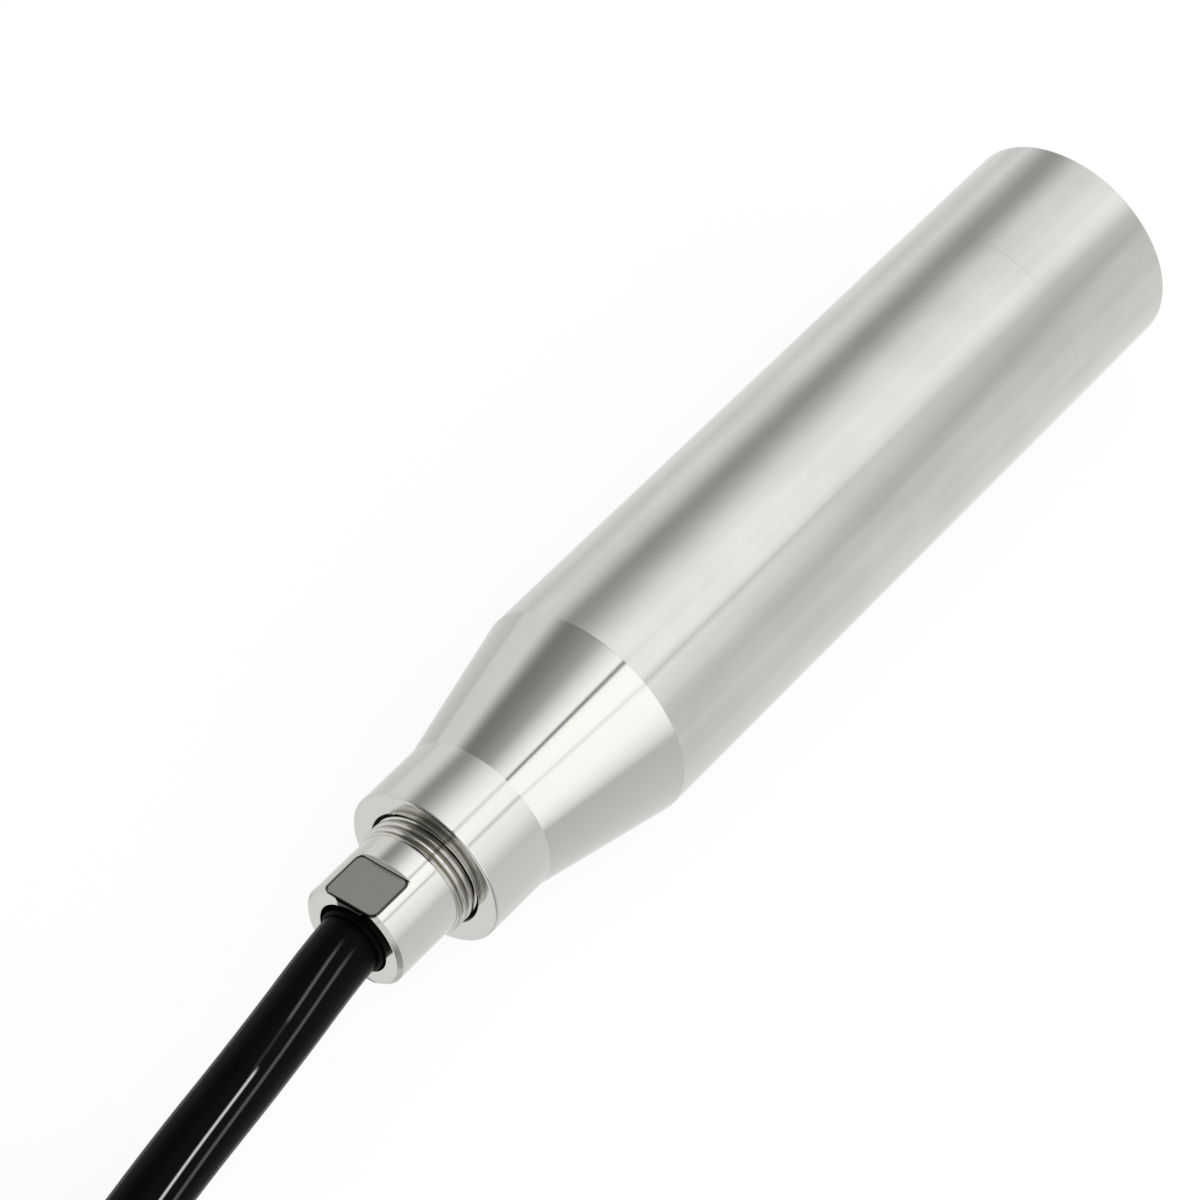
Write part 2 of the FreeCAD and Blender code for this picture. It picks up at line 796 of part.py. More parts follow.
def make_tail():
    """The cable's stripped end on top of the hank: jacket, two cores with bare tips and the vent tube."""
    top = size.tie_thickness + size.hank_layers * size.cable_diameter + size.slip_clearance
    y = size.hank_side - size.hank_outer_turn
    start = gland_end - size.tail_start - size.tail_length
    node(rod("cable_tail", start, y, top + cable_radius, size.tail_length, size.cable_diameter), "cable_tail")
    core_end = start - size.slip_clearance - size.tail_core_length
    tips = []
    for label, side in (("tail_red_core", 1), ("tail_black_core", -1)):
        across = y + side * size.core_spread
        height = top + half(size.core_diameter)
        node(rod(label, core_end, across, height, size.tail_core_length, size.core_diameter), label)
        tips.append(rod(label + "_tip", core_end - size.slip_clearance - size.conductor_length, across, height,
                        size.conductor_length, size.conductor_diameter))
    node(group("tail_conductors", tips), "tail_conductors")
    height = top + size.core_diameter + size.slip_clearance + half(size.vent_diameter)
    outside = rod("tail_vent_outside", core_end, y, height, size.tail_core_length, size.vent_diameter)
    inside = rod("tail_vent_inside", core_end, y, height, size.tail_core_length, size.vent_bore)
    node(cut("tail_vent_tube", outside, inside), "tail_vent_tube")


def check():
    """Stops if any object failed or any piece is missing, open or invalid."""
    for thing in doc.Objects:
        if {"Invalid", "Error"} & set(thing.State):
            raise RuntimeError(f"{thing.Name} failed: {thing.State}")
    for piece in exported:
        if piece.Shape.isNull() or not piece.Shape.isValid() or not piece.Shape.Solids:
            raise RuntimeError(f"{piece.Label} has no valid solid")


def write_parts():
    """Writes each piece to a file of its own."""
    os.makedirs("parts", exist_ok=True)
    for piece in exported:
        piece.Shape.exportStep(f"parts/{piece.Label}.step")


make_housing()
make_nose_cap()
make_cell()
make_diaphragm()
make_header()
make_board()
make_board_parts()
make_gland()
make_inner_cores()
make_cable()
make_hank()
make_tail()
doc.recompute()
check()
write_parts()
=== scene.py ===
"""Looks of a submersible level transmitter, laid out as a Blender add-on and run as a script.

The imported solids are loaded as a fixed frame, and finer surfaces, finishes and the cable are built round
them. Lengths are metres in the part's own frame: the probe lies along X with its nose at +X, the floor is
Z = 0, and the origin is below the middle of the probe.
"""

import math

import bmesh
import bpy
import numpy as np
from bpy.props import CollectionProperty, FloatProperty, FloatVectorProperty, IntProperty, PointerProperty
from bpy.types import Operator, Panel, PropertyGroup
from mathutils import Matrix, Vector


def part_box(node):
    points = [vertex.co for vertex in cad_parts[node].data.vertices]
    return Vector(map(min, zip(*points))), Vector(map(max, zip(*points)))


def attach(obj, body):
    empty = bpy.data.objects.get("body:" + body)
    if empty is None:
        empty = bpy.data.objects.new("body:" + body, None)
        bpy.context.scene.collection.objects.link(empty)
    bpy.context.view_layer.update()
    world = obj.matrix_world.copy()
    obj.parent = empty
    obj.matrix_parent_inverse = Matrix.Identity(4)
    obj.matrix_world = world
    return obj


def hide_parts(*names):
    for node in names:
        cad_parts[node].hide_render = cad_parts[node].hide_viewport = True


bl_info = {
    "name": "Level probe looks",
    "version": (1, 0, 0),
    "blender": (4, 5, 0),
    "location": "3D View > Sidebar > Level probe",
    "description": "Builds the surfaces, finishes, cable and studio of a submersible level transmitter",
    "category": "Object",
}

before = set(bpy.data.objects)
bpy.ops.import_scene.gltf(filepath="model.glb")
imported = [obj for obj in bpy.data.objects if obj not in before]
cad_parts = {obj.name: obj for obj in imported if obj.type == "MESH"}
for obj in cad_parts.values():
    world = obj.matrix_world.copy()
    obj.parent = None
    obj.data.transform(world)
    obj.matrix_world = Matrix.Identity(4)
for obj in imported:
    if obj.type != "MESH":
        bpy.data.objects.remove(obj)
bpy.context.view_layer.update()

MM = 0.001
AXIS = float(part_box("housing")[1].z) / 2
NECK_FACE = float(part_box("housing")[0].x)
SEAM = float(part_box("housing")[1].x)
NOSE = float(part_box("nose_cap")[1].x)
CAP_BACK = float(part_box("nose_cap")[0].x)
GLAND_OUT = float(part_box("gland_screw")[0].x)
GLAND_IN = float(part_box("gland_screw")[1].x)


def length(name, description, default):
    """A length that a user may change."""
    return FloatProperty(name=name, description=description, default=default, precision=5, unit="LENGTH")


def amount(name, description, default):
    """A plain number that a user may change."""
    return FloatProperty(name=name, description=description, default=default, precision=4)


def angle(name, description, degrees):
    """An angle that a user may change."""
    return FloatProperty(name=name, description=description, default=math.radians(degrees), subtype="ANGLE")


def colour(name, description, default):
    """A colour that a user may change."""
    return FloatVectorProperty(name=name, description=description, default=default, size=3, subtype="COLOR",
                               min=0.0, max=1.0)


def numbers(name, description, default):
    """A few plain numbers that a user may change."""
    return FloatVectorProperty(name=name, description=description, default=default, size=len(default),
                               precision=4)


def turned(name, description, degrees):
    """Three angles that a user may change."""
    return FloatVectorProperty(name=name, description=description, default=[math.radians(a) for a in degrees],
                               size=3, subtype="EULER")


def spot(name, description, default):
    """A place that a user may change."""
    return FloatVectorProperty(name=name, description=description, default=default, size=3, subtype="XYZ",
                               unit="LENGTH", precision=5)


class ProbeSizes(PropertyGroup):
    """Sizes of the turned housing and of the nose cap."""

    edge_round: length("Edge rounding", "Radius on the broken edges of the turned steel", 0.12 * MM)
    neck_length: length("Neck length", "Length of the narrow neck", 9.25 * MM)
    neck_radius: length("Neck radius", "Outside of the narrow neck", 10.0 * MM)
    neck_round: length("Neck rounding", "Radius on the edge of the neck's face", 0.3 * MM)
    cone_length: length("Cone length", "Length of the cone between neck and barrel", 18.6 * MM)
    mouth_radius: length("Mouth radius", "Countersink where the gland screws in", 7.42 * MM)
    mouth_depth: length("Mouth depth", "Depth of that countersink", 0.9 * MM)
    socket_radius: length("Socket radius", "Wall of the gland's socket", 7.1 * MM)
    socket_depth: length("Socket depth", "Depth of the gland's socket", 7.5 * MM)
    pocket_radius: length("Pocket radius", "Wall round the rubber seal", 6.4 * MM)
    pocket_depth: length("Pocket depth", "Depth of the seal's pocket", 14.55 * MM)
    passage_radius: length("Passage radius", "Hole for the cable behind the seal", 4.2 * MM)
    passage_depth: length("Passage depth", "Where the passage opens into the chamber", 18.05 * MM)
    chamber_radius: length("Chamber radius", "Wall round the board's sleeve", 8.75 * MM)
    cell_bore: length("Cell bore", "Wall round the pressure cell", 9.55 * MM)
    cell_depth: length("Cell depth", "Shoulder behind the cell, from the seam", 22.05 * MM)
    cap_socket: length("Cap socket", "Wall of the cap's thread", 11.1 * MM)
    cap_socket_depth: length("Cap socket depth", "Depth of that wall, from the seam", 10.05 * MM)
    cap_thread: length("Cap thread", "Outside of the cap's spigot", 11.0 * MM)
    cap_bore: length("Cap bore", "Wall of the hollow in front of the cell", 8.5 * MM)
    cap_wall: length("Cap wall", "Thickness of the cap's end", 3.0 * MM)
    seam_gap: length("Seam gap", "Gap between housing and cap", 0.012 * MM)
    seam_round: length("Seam rounding", "Radius on the two edges at the seam", 0.012 * MM)
    port_radius: length("Port radius", "Ports in the cap's end", 1.6 * MM)
    port_ring: length("Port ring", "Radius of the ring of ports", 6.25 * MM)
    centre_port: length("Centre port", "Radius of the port on the axis", 2.0 * MM)
    port_chamfer: length("Port chamfer", "Broken edge of each port", 0.2 * MM)
    ports: IntProperty(name="Ports", description="Number of ports in the ring", default=6, min=3)


class GlandSizes(PropertyGroup):
    """Sizes of the hollow gland screw."""

    grip_radius: length("Grip radius", "Round grip at the outer end", 6.625 * MM)
    grip_length: length("Grip length", "Length of the grip", 9.55 * MM)
    end_chamfer: length("End chamfer", "Broken edge of the grip and of the thread", 0.5 * MM)
    bore: length("Bore", "Hole for the cable", 4.5 * MM)
    bore_chamfer: length("Bore chamfer", "Countersink of the bore", 0.1 * MM)
    flat_height: length("Flat height", "Distance of a wrench flat from the axis", 5.65 * MM)
    flat_length: length("Flat length", "Length of a wrench flat from the outer end", 6.2 * MM)
    flat_turn: angle("Flat turn", "How far the flats are turned from level", 3.75)
    thread_radius: length("Thread radius", "Crest of the thread", 7.0 * MM)
    thread_pitch: length("Thread pitch", "Advance in one turn", 1.0 * MM)
    thread_depth: length("Thread depth", "Crest to root", 0.5 * MM)
    edge_round: length("Edge rounding", "Softness of the plated edges", 0.12 * MM)
    flat_corner: length("Flat corner", "Corner radius of a flat's outline", 0.9 * MM)
    # The flat line is painted shade: a dark line round each flat
    flat_line: length("Flat line", "Half width of the dark burr round a flat", 0.16 * MM)


class CableSizes(PropertyGroup):
    """Sizes of the cable, its hank and its stripped end."""

    bush_radius: length("Bush radius", "Rubber bush on the cable in the gland's mouth", 4.1 * MM)
    bush_out: length("Bush out", "How far the bush stands out of the gland", 0.55 * MM)
    diameter: length("Diameter", "Outside of the jacket", 7.5 * MM)
    total: length("Length", "Whole length of the cable", 6.0)
    run: length("Hank run", "Straight part of a turn of the hank", 120.0 * MM)
    outer_turn: length("Outer turn", "Radius of the outer turns at the hank's ends", 32.0 * MM)
    slot_step: length("Slot step", "From the outer turns to the inner ones", 7.7 * MM)
    lift: length("Lift", "Thickness of the tie under the hank", 0.6 * MM)
    turns: amount("Turns", "Turns of the hank up to the free end", 14.158)
    tie_place: length("Tie place", "Ties, from the near end turn's centre", 110.0 * MM)
    tie_width: length("Tie width", "Width of a tie", 5.0 * MM)
    core_radius: length("Core radius", "Insulation of a core", 0.75 * MM)
    vent_radius: length("Vent radius", "Outside of the vent tube", 1.0 * MM)
    strand_radius: length("Strand radius", "One strand of a bare conductor", 0.14 * MM)


class FinishColours(PropertyGroup):
    """Colours of the finishes."""

    steel: colour("Steel", "Turned stainless steel", (0.660, 0.657, 0.629))
    nickel: colour("Nickel", "Bright nickel plating", (0.690, 0.683, 0.650))
    # In the thread's roots this brass is used darkened, as painted shade as well as brass
    brass: colour("Brass", "Brass that shows through in the thread's roots", (0.56, 0.45, 0.27))
    jacket: colour("Jacket", "Cable jacket", (0.0014, 0.0014, 0.0014))
    # Painted highlight: the pale lines along the jacket stand in for reflected streaks
    streak_highlight: colour("Scuff", "Scuffed lines along the jacket", (0.5, 0.5, 0.5))
    red: colour("Red core", "Insulation of the positive core", (0.42, 0.022, 0.016))
    black: colour("Black core", "Insulation of the negative core", (0.014, 0.014, 0.015))
    vent: colour("Vent tube", "Natural polyamide", (0.62, 0.62, 0.58))
    copper: colour("Copper", "Bare conductors", (0.72, 0.40, 0.24))
    gold: colour("Gold", "Gold-flashed pins", (0.83, 0.62, 0.28))
    rubber: colour("Rubber", "Seal and O-ring", (0.018, 0.018, 0.018))
    board: colour("Board", "Solder mask", (0.015, 0.115, 0.045))
    package: colour("Package", "Moulded packages", (0.022, 0.022, 0.024))
    tantalum: colour("Capacitor", "Moulded tantalum capacitors", (0.62, 0.34, 0.06))
    sleeve: colour("Sleeve", "Insulating sleeve", (0.72, 0.70, 0.62))
    tie: colour("Tie", "Plastic-covered wire", (0.02, 0.02, 0.021))


class StudioPanel(PropertyGroup):
    """One soft panel of the room that polished surfaces mirror."""

    aim: turned("Aim", "Azimuth, elevation and roll of the panel's middle", (0.0, 0.0, 0.0))
    half: numbers("Half size", "Half width and half height at distance one", (1.0, 1.0))
    light: numbers("Brightness", "Brightness at its bottom and top", (1.0, 1.0))
    soft: numbers("Soft edges", "Soft part of its sides, top and bottom", (0.1, 0.1, 0.1))


# Panels in the order in which they are laid over each other. Each has its aim in degrees, half size,
# brightness and soft edges.
PANELS = {
    "pale wall at the cable's end":
        ((-120.0, 0.0, 0.0), (3.7, 1.8), (0.85, 0.85), (1.5, 0.8, 0.8)),
    "grey panel overhead":
        ((167.35, 70.30, 72.70), (0.877, 0.580), (0.291, 0.095), (0.538, 0.769, 0.539)),
    "narrow slat near the floor":
        ((37.43, 23.48, 69.53), (0.665, 0.108), (0.030, 1.237), (0.630, 0.043, 0.032)),
    "bright key panel":
        ((20.43, 44.31, -23.88), (0.700, 1.423), (1.149, 2.799), (1.081, 1.303, 0.335)),
    "dark panel behind":
        ((132.57, 43.31, 79.96), (1.381, 0.371), (0.124, 0.701), (1.490, 0.388, 0.307)),
    "white bounce at the cable's end":
        ((-118.0, -48.0, 0.0), (0.85, 0.9), (0.90, 0.90), (0.3, 0.4, 0.4)),
    "shade over the camera":
        ((-108.0, 50.0, 0.0), (0.85, 0.45), (0.15, 0.15), (0.4, 0.2, 0.25)),
    "dark card at the cable's end":
        ((-108.0, 6.0, 0.0), (0.2, 0.25), (0.1, 0.1), (0.1, 0.1, 0.1)),
}


class StudioSettings(PropertyGroup):
    """Camera, lamp and floor, and the room that polished surfaces mirror."""

    camera_place: spot("Camera", "Where the camera stands", (-0.322465, -0.23263, 0.45409))
    camera_aim: spot("Aim", "Direction in which the camera looks", (0.52523, 0.40947, -0.74597))
    camera_angle: angle("Field of view", "Angle across the square picture", 13.0805)
    shadow: amount("Shadow", "Share of the probe's shadow that the floor keeps", 0.12)
    lamp_place: spot("Lamp", "Middle of the soft lamp on the camera's side", (-0.10884, -0.61443, 0.50955))
    lamp_width: length("Lamp width", "Width of the soft lamp", 1.2)
    lamp_height: length("Lamp height", "Height of the soft lamp", 1.1)
    lamp_light: amount("Lamp brightness", "Brightness of the soft lamp", 1.5)
    room: amount("Room", "Brightness of the room on matt surfaces", 0.75)
    ceiling: numbers("Ceiling", "Mirrored upper half of the room: brightness, and its rise along X, Y and Z",
                     (0.749, 0.190, 0.031, 0.129))
    ground: numbers("Ground", "Mirrored lower half of the room: brightness, and its rise along X, Y and Z",
                    (0.562, 0.424, -0.003, -0.083))
    panels: CollectionProperty(type=StudioPanel, name="Panels", description="Soft panels of the room")
    upper_gap: angle("Upper gap", "Turn about X of the upper dark gap between panels", -20.7)
    lower_gap: angle("Lower gap", "Turn about X of the lower dark gap between panels", -46.0)
    gap_width: amount("Gap width", "Half width of a gap at distance one", 0.03)


SIZES = {
    "probe_sizes": ProbeSizes,
    "gland_sizes": GlandSizes,
    "cable_sizes": CableSizes,
    "finish_colours": FinishColours,
    "studio": StudioSettings,
}


class Wire:
    """An output socket in a node tree. Arithmetic on it adds Math nodes."""

    def __init__(self, nodes, socket):
        self.nodes = nodes
        self.socket = socket

    def math(self, operation, first, second):
        """A Math node on two values."""
        return self.nodes.add("ShaderNodeMath", {"operation": operation}, {0: first, 1: second})

    def __add__(self, other):
        return self.math("ADD", self, other)

    def __radd__(self, other):
        return self.math("ADD", other, self)

    def __sub__(self, other):
        return self.math("SUBTRACT", self, other)

    def __rsub__(self, other):
        return self.math("SUBTRACT", other, self)

    def __mul__(self, other):
        return self.math("MULTIPLY", self, other)

    def __rmul__(self, other):
        return self.math("MULTIPLY", other, self)

    def __truediv__(self, other):
        return self.math("DIVIDE", self, other)

    def __pow__(self, other):
        return self.math("POWER", self, other)

    def __abs__(self):
        return self.math("ABSOLUTE", self, 0.0)

    def at_least(self, low):
        """The larger of this value and another."""
        return self.math("MAXIMUM", self, low)

    def nearest_whole(self):
        """The nearest whole number."""
        return self.math("FLOOR", self + 0.5, 0.0)


class Nodes:
    """A node tree that is filled one node at a time."""

    def __init__(self, tree):
        self.tree = tree
        tree.nodes.clear()

    def add(self, kind, settings=None, sockets=None, output=0):
        """Adds a node, sets it up, fills or links its sockets, and returns one of its outputs."""
        node = self.tree.nodes.new(kind)
        for name, value in (settings or {}).items():
            setattr(node, name, value)
        for name, value in (sockets or {}).items():
            if isinstance(value, Wire):
                self.tree.links.new(value.socket, node.inputs[name])
            else:
                node.inputs[name].default_value = value
        return Wire(self, node.outputs[output]) if node.outputs else None

    def step(self, value, low, high):
        """0 below low, 1 above high and smooth between."""
        return self.add("ShaderNodeMapRange", {"interpolation_type": "SMOOTHSTEP"}, {
            "Value": value, "From Min": low, "From Max": high})

    def below(self, value, low, high):
        """1 below low, 0 above high and smooth between."""
        return 1 - self.step(value, low, high)

    def ramp(self, value, low, high, start, end):
        """Runs from start to end while the value runs from low to high."""
        return self.add("ShaderNodeMapRange", None, {
            "Value": value, "From Min": low, "From Max": high, "To Min": start, "To Max": end})

    def part(self, vector, direction):
        """The part of a vector along a direction."""
        return self.add("ShaderNodeVectorMath", {"operation": "DOT_PRODUCT"},
                        {0: vector, 1: tuple(direction)}, "Value")


class Finish(Nodes):
    """A material with one Principled shader and the patterns that feed it."""

    def __init__(self, name):
        self.material = bpy.data.materials.new(name)
        self.material.use_nodes = True
        super().__init__(self.material.node_tree)
        self.place = self.add("ShaderNodeTexCoord", output="Object")

    def from_axis(self):
        """A point's place along the probe, its way across and up from the axis, and its distance from it."""
        along, across, up = [self.add("ShaderNodeSeparateXYZ", None, {0: self.place}, part)
                             for part in range(3)]
        rise = up - AXIS
        return along, across, rise, (across * across + rise * rise) ** 0.5

    def noise(self, scale, detail=2.0, roughness=0.5):
        """Soft noise with its own scale along each axis, in waves per metre."""
        mapped = self.add("ShaderNodeMapping", None, {"Vector": self.place, "Scale": scale})
        return self.add("ShaderNodeTexNoise", None, {
            "Vector": mapped, "Scale": 1.0, "Detail": detail, "Roughness": roughness}, "Fac")

    def mix(self, factor, low, high):
        """A colour between two colours."""
        return self.add("ShaderNodeMix", {"data_type": "RGBA"}, {
            0: factor, 6: low if isinstance(low, Wire) else (*low, 1.0),
            7: high if isinstance(high, Wire) else (*high, 1.0)}, 2)

    def bump(self, height, distance):
        """A normal bent by a height in waves of the given depth."""
        return self.add("ShaderNodeBump", None, {"Height": height, "Distance": distance, "Strength": 1.0})

    def close(self, sockets):
        """Adds the shader with these sockets and returns the material."""
        shader = self.add("ShaderNodeBsdfPrincipled", None, sockets)
        self.add("ShaderNodeOutputMaterial", None, {"Surface": shader})
        return self.material


def shaded(tint, share):
    """A colour darkened to a share of itself."""
    return tuple(share * channel for channel in tint)


def steel_finish(colours, sizes):
    """Stainless steel: drawn lines and clouds on the barrel, a brighter turned cone, painted shade in the
    gland socket.
    """
    finish = Finish("turned_stainless")
    along, _, rise, radius = finish.from_axis()
    cone_start = NECK_FACE + sizes.neck_length
    cone_end = cone_start + sizes.cone_length
    blend = 0.05 * MM
    barrel = finish.step(along, cone_end - blend, cone_end + blend)
    neck = finish.below(along, cone_start - blend, cone_start)

    # Painted shade, near black, in the gland's socket and on its countersink, but not on the side that is
    # seen from above
    socket = finish.below(radius, sizes.mouth_radius - 0.12 * MM, sizes.mouth_radius + 0.02 * MM)
    socket = socket * finish.below(along, 0.0, 1.0 * MM) * finish.below(rise, 5.6 * MM, 6.8 * MM)

    streaks = finish.noise((7.0, 1500.0, 1500.0), 3.0, 0.6)
    bands = finish.step(finish.noise((11.0, 420.0, 420.0), 2.0), 0.3, 0.7)
    waves = finish.noise((38.0, 130.0, 130.0), 1.0)
    clouds = finish.noise((75.0, 110.0, 110.0), 3.0, 0.6)
    turning = finish.noise((9000.0, 4.0, 4.0), 2.0)
    rough = 0.10 + neck * 0.02 + barrel * (0.05 + 0.05 * (streaks - 0.5)) + 0.03 * (clouds - 0.5)
    rough = rough + socket * 0.3
    stained = 0.5 * bands + 0.5 * finish.step(clouds, 0.3, 0.7)
    worn = barrel * stained + (1 - barrel) * (0.3 + 0.2 * clouds)
    tint = finish.mix(worn, shaded(colours.steel, 1.07), shaded(colours.steel, 0.92))
    # Painted shade: the socket mask turns the steel near black
    tint = finish.mix(socket, tint, shaded(colours.steel, 0.05))
    lines = barrel * (streaks + 40.0 * waves) + (1 - barrel) * turning * 0.25
    return finish.close({
        "Base Color": tint, "Metallic": 1.0, "Roughness": rough, "Normal": finish.bump(lines, 0.0004 * MM),
    })


def nickel_finish(colours, sizes):
    """Bright nickel over brass: nearly a mirror, with dull flats in a painted dark line of shade, and a warm
    brass cast in the roots that is darkened as painted shade.

    The painted line of shade is where the distance to a rectangle with round corners, in the plane of a flat,
    is near nothing.
    """
    finish = Finish("bright_nickel")
    along, across, rise, radius = finish.from_axis()
    turning = finish.noise((7000.0, 6.0, 6.0), 2.0)
    clouds = finish.noise((240.0, 240.0, 240.0), 3.0)
    flat_top, flat_end = sizes.flat_height, GLAND_OUT + sizes.flat_length
    grip_end = GLAND_OUT + sizes.grip_length

    # Height over the axis and way aside, as a flat lies, and the distance to the flat's outline
    sine, cosine = math.sin(sizes.flat_turn), math.cos(sizes.flat_turn)
    height = abs(across * sine + rise * cosine)
    aside = across * cosine - rise * sine
    corner = sizes.flat_corner
    wide = math.sqrt(sizes.grip_radius ** 2 - flat_top ** 2)
    long = sizes.flat_length / 2
    past_side = (abs(aside) - (wide - corner)).at_least(0.0)
    past_end = (abs(along - (GLAND_OUT + long)) - (long - corner)).at_least(0.0)
    reach = (past_side * past_side + past_end * past_end) ** 0.5 - corner

    # The flat, the painted dark line of shade round it, and the step wall at its inner end
    above = finish.step(height, flat_top + 0.06 * MM, flat_top + 0.14 * MM)
    level = finish.step(height, flat_top - 0.30 * MM, flat_top - 0.15 * MM) * (1 - above)
    flat = finish.below(reach, -0.05 * MM, 0.05 * MM) * level
    edge_shade = finish.below(abs(reach), 0.6 * sizes.flat_line, 1.4 * sizes.flat_line) * level
    wall = finish.below(abs(along - flat_end), 0.08 * MM, 0.12 * MM) * above

    # Painted shade on the end face: the upper flat's dark line runs on over it to the bore
    end_face_shade = finish.below(along, GLAND_OUT + 0.12 * MM, GLAND_OUT + 0.22 * MM)
    end_face_shade = end_face_shade * finish.below(abs(aside + 0.4 * MM), 1.8 * MM, 2.2 * MM) * finish.step(rise, 0.0, 1.0 * MM)
    end_face_shade = end_face_shade * finish.step(height, flat_top - 1.75 * MM, flat_top - 1.65 * MM)

    # Roots of the thread: a warm brass cast, darkened as painted shade
    crest = sizes.thread_radius
    root = finish.below(radius, crest - 0.9 * sizes.thread_depth, crest - 0.15 * MM)
    root = root * finish.step(along, grip_end, grip_end + 0.3 * MM)

    tint = finish.mix(clouds, colours.nickel, shaded(colours.nickel, 0.94))
    # Painted shade and real brass: the roots get brass at 0.4 of itself
    tint = finish.mix(root * 0.8, tint, shaded(colours.brass, 0.4))
    tint = finish.mix(wall, tint, shaded(colours.nickel, 0.75))
    tint = finish.mix(flat, tint, shaded(colours.nickel, 0.80))
    # Painted shade: a near-black line round the flats and over the end face
    tint = finish.mix(edge_shade.at_least(end_face_shade) * 0.95, tint, shaded(colours.nickel, 0.05))
    return finish.close({
        "Base Color": tint, "Metallic": 1.0 - 0.9 * wall, "Roughness": 0.08 + 0.05 * clouds + flat * 0.06,
        "Normal": finish.bump(turning, 0.0003 * MM),
    })


def plain_steel_finish(colours):
    """Fine turned steel of the inner parts."""
    finish = Finish("fine_turned_steel")
    turning = finish.noise((5000.0, 5.0, 5.0), 3.0)
    tint = finish.mix(turning, shaded(colours.steel, 0.97), shaded(colours.steel, 0.86))
    return finish.close({
        "Base Color": tint, "Metallic": 1.0, "Roughness": 0.24 + 0.12 * turning,
        "Normal": finish.bump(turning, 0.002 * MM),
    })


def moulded_finish(name, tint, gloss, grain=900.0, depth=0.01, shine=0.5):
    """Moulded or extruded plastic and rubber: an even colour with a fine grain."""
    finish = Finish(name)
    cloud = finish.noise((120.0, 120.0, 120.0), 3.0)
    pores = finish.noise((grain, grain, grain), 3.0)
    return finish.close({
        "Base Color": finish.mix(cloud, shaded(tint, 0.92), shaded(tint, 1.06)),
        "Roughness": gloss + 0.12 * (cloud - 0.5), "Normal": finish.bump(pores, depth * MM),
        "Specular IOR Level": shine,
    })


def bare_metal_finish(name, tint):
    """Bare wire and pins with drawn lines."""
    finish = Finish(name)
    drawn = finish.noise((60.0, 6000.0, 6000.0), 2.0)
    return finish.close({
        "Base Color": finish.mix(drawn, shaded(tint, 0.9), tint), "Metallic": 1.0,
        "Roughness": 0.22 + 0.15 * drawn,
    })


def board_finish(colours):
    """Solder mask with the faint weave of the glass cloth under it."""
    finish = Finish("solder_mask")
    weave = finish.noise((1800.0, 300.0, 300.0), 1.0) * finish.noise((300.0, 1800.0, 300.0), 1.0)
    return finish.close({
        "Base Color": finish.mix(weave, shaded(colours.board, 0.8), shaded(colours.board, 1.5)),
        "Roughness": 0.32 + 0.2 * weave, "Normal": finish.bump(weave, 0.01 * MM),
    })


def unit(vectors):
    """Vectors divided by their lengths."""
    return vectors / np.linalg.norm(vectors, axis=-1, keepdims=True)


def smooth(t):
    """0 to 1 with level ends: 3 t squared less 2 t cubed."""
    t = np.clip(t, 0.0, 1.0)
    return t * t * (3.0 - 2.0 * t)


def rounded(corners, radius, steps=3):
    """A closed outline with an arc in place of each corner, of one radius or of one for each corner.

    An arc starts and ends at radius times the tangent of half the turn from its corner. Its points are its
    two end spokes weighted by sin((1 - t) turn) and sin(t turn), over sin(turn). One more point beside each
    end keeps the shading of the straight edges flat.
    """
    corners = np.array(corners)
    into = corners - np.roll(corners, 1, axis=0)
    out = np.roll(into, -1, axis=0)
    shorter = np.minimum(np.linalg.norm(into, axis=1), np.linalg.norm(out, axis=1))[:, None]
    into, out = unit(into), unit(out)
    turn = np.arccos(np.clip((into * out).sum(1), -1.0, 1.0))[:, None]
    longest = 0.35 * shorter
    reach = np.minimum(np.reshape(radius, (-1, 1)) * np.tan(turn / 2), longest)
    start, end = corners - into * reach, corners + out * reach
    centre = corners + unit(out - into) * (reach / np.sin(turn / 2))
    t = np.linspace(0.0, 1.0, steps + 1)[None, :, None]
    turn = turn[:, None]
    arc = (np.sin((1 - t) * turn) * (start - centre)[:, None] + np.sin(t * turn) * (end - centre)[:, None])
    arc = centre[:, None] + arc / np.sin(turn)
    beside = 0.2 * reach
    points = np.concatenate([(start - into * beside)[:, None], arc, (end + out * beside)[:, None]], axis=1)
    return points.reshape(-1, 2)


def divided(outline, spacing):
    """A closed outline with its edges cut into parts no longer than the spacing given for each edge."""
    ahead = np.roll(outline, -1, axis=0)
    counts = np.ceil(np.linalg.norm(ahead - outline, axis=1) / spacing).astype(int).clip(1)
    edge = np.repeat(np.arange(len(outline)), counts)
    share = (np.arange(counts.sum()) - np.repeat(np.cumsum(counts) - counts, counts)) / counts[edge]
    return outline[edge] + share[:, None] * (ahead - outline)[edge]


def lathe(places, radii, turns):
    """A grid turned about the probe's axis: y is r sin(turn) and z is the axis height plus r cos(turn)."""
    places, radii, turns = np.broadcast_arrays(places, radii, turns)
    return np.stack([places, radii * np.sin(turns), AXIS + radii * np.cos(turns)], axis=-1)


def around(count):
    """Evenly spaced turns of a full circle."""
    return np.linspace(0.0, 2 * np.pi, count, endpoint=False)


def groove(places, turns, pitch):
    """Depth of a right-hand thread, 0 on its broad crest, 1 in its root: a cut triangle on the helix."""
    crest, flank = 0.42, 0.5
    phase = (places / pitch + turns / (2 * np.pi)) % 1.0
    return np.clip((np.abs(2.0 * phase - 1.0) - crest) / flank, 0.0, 1.0)


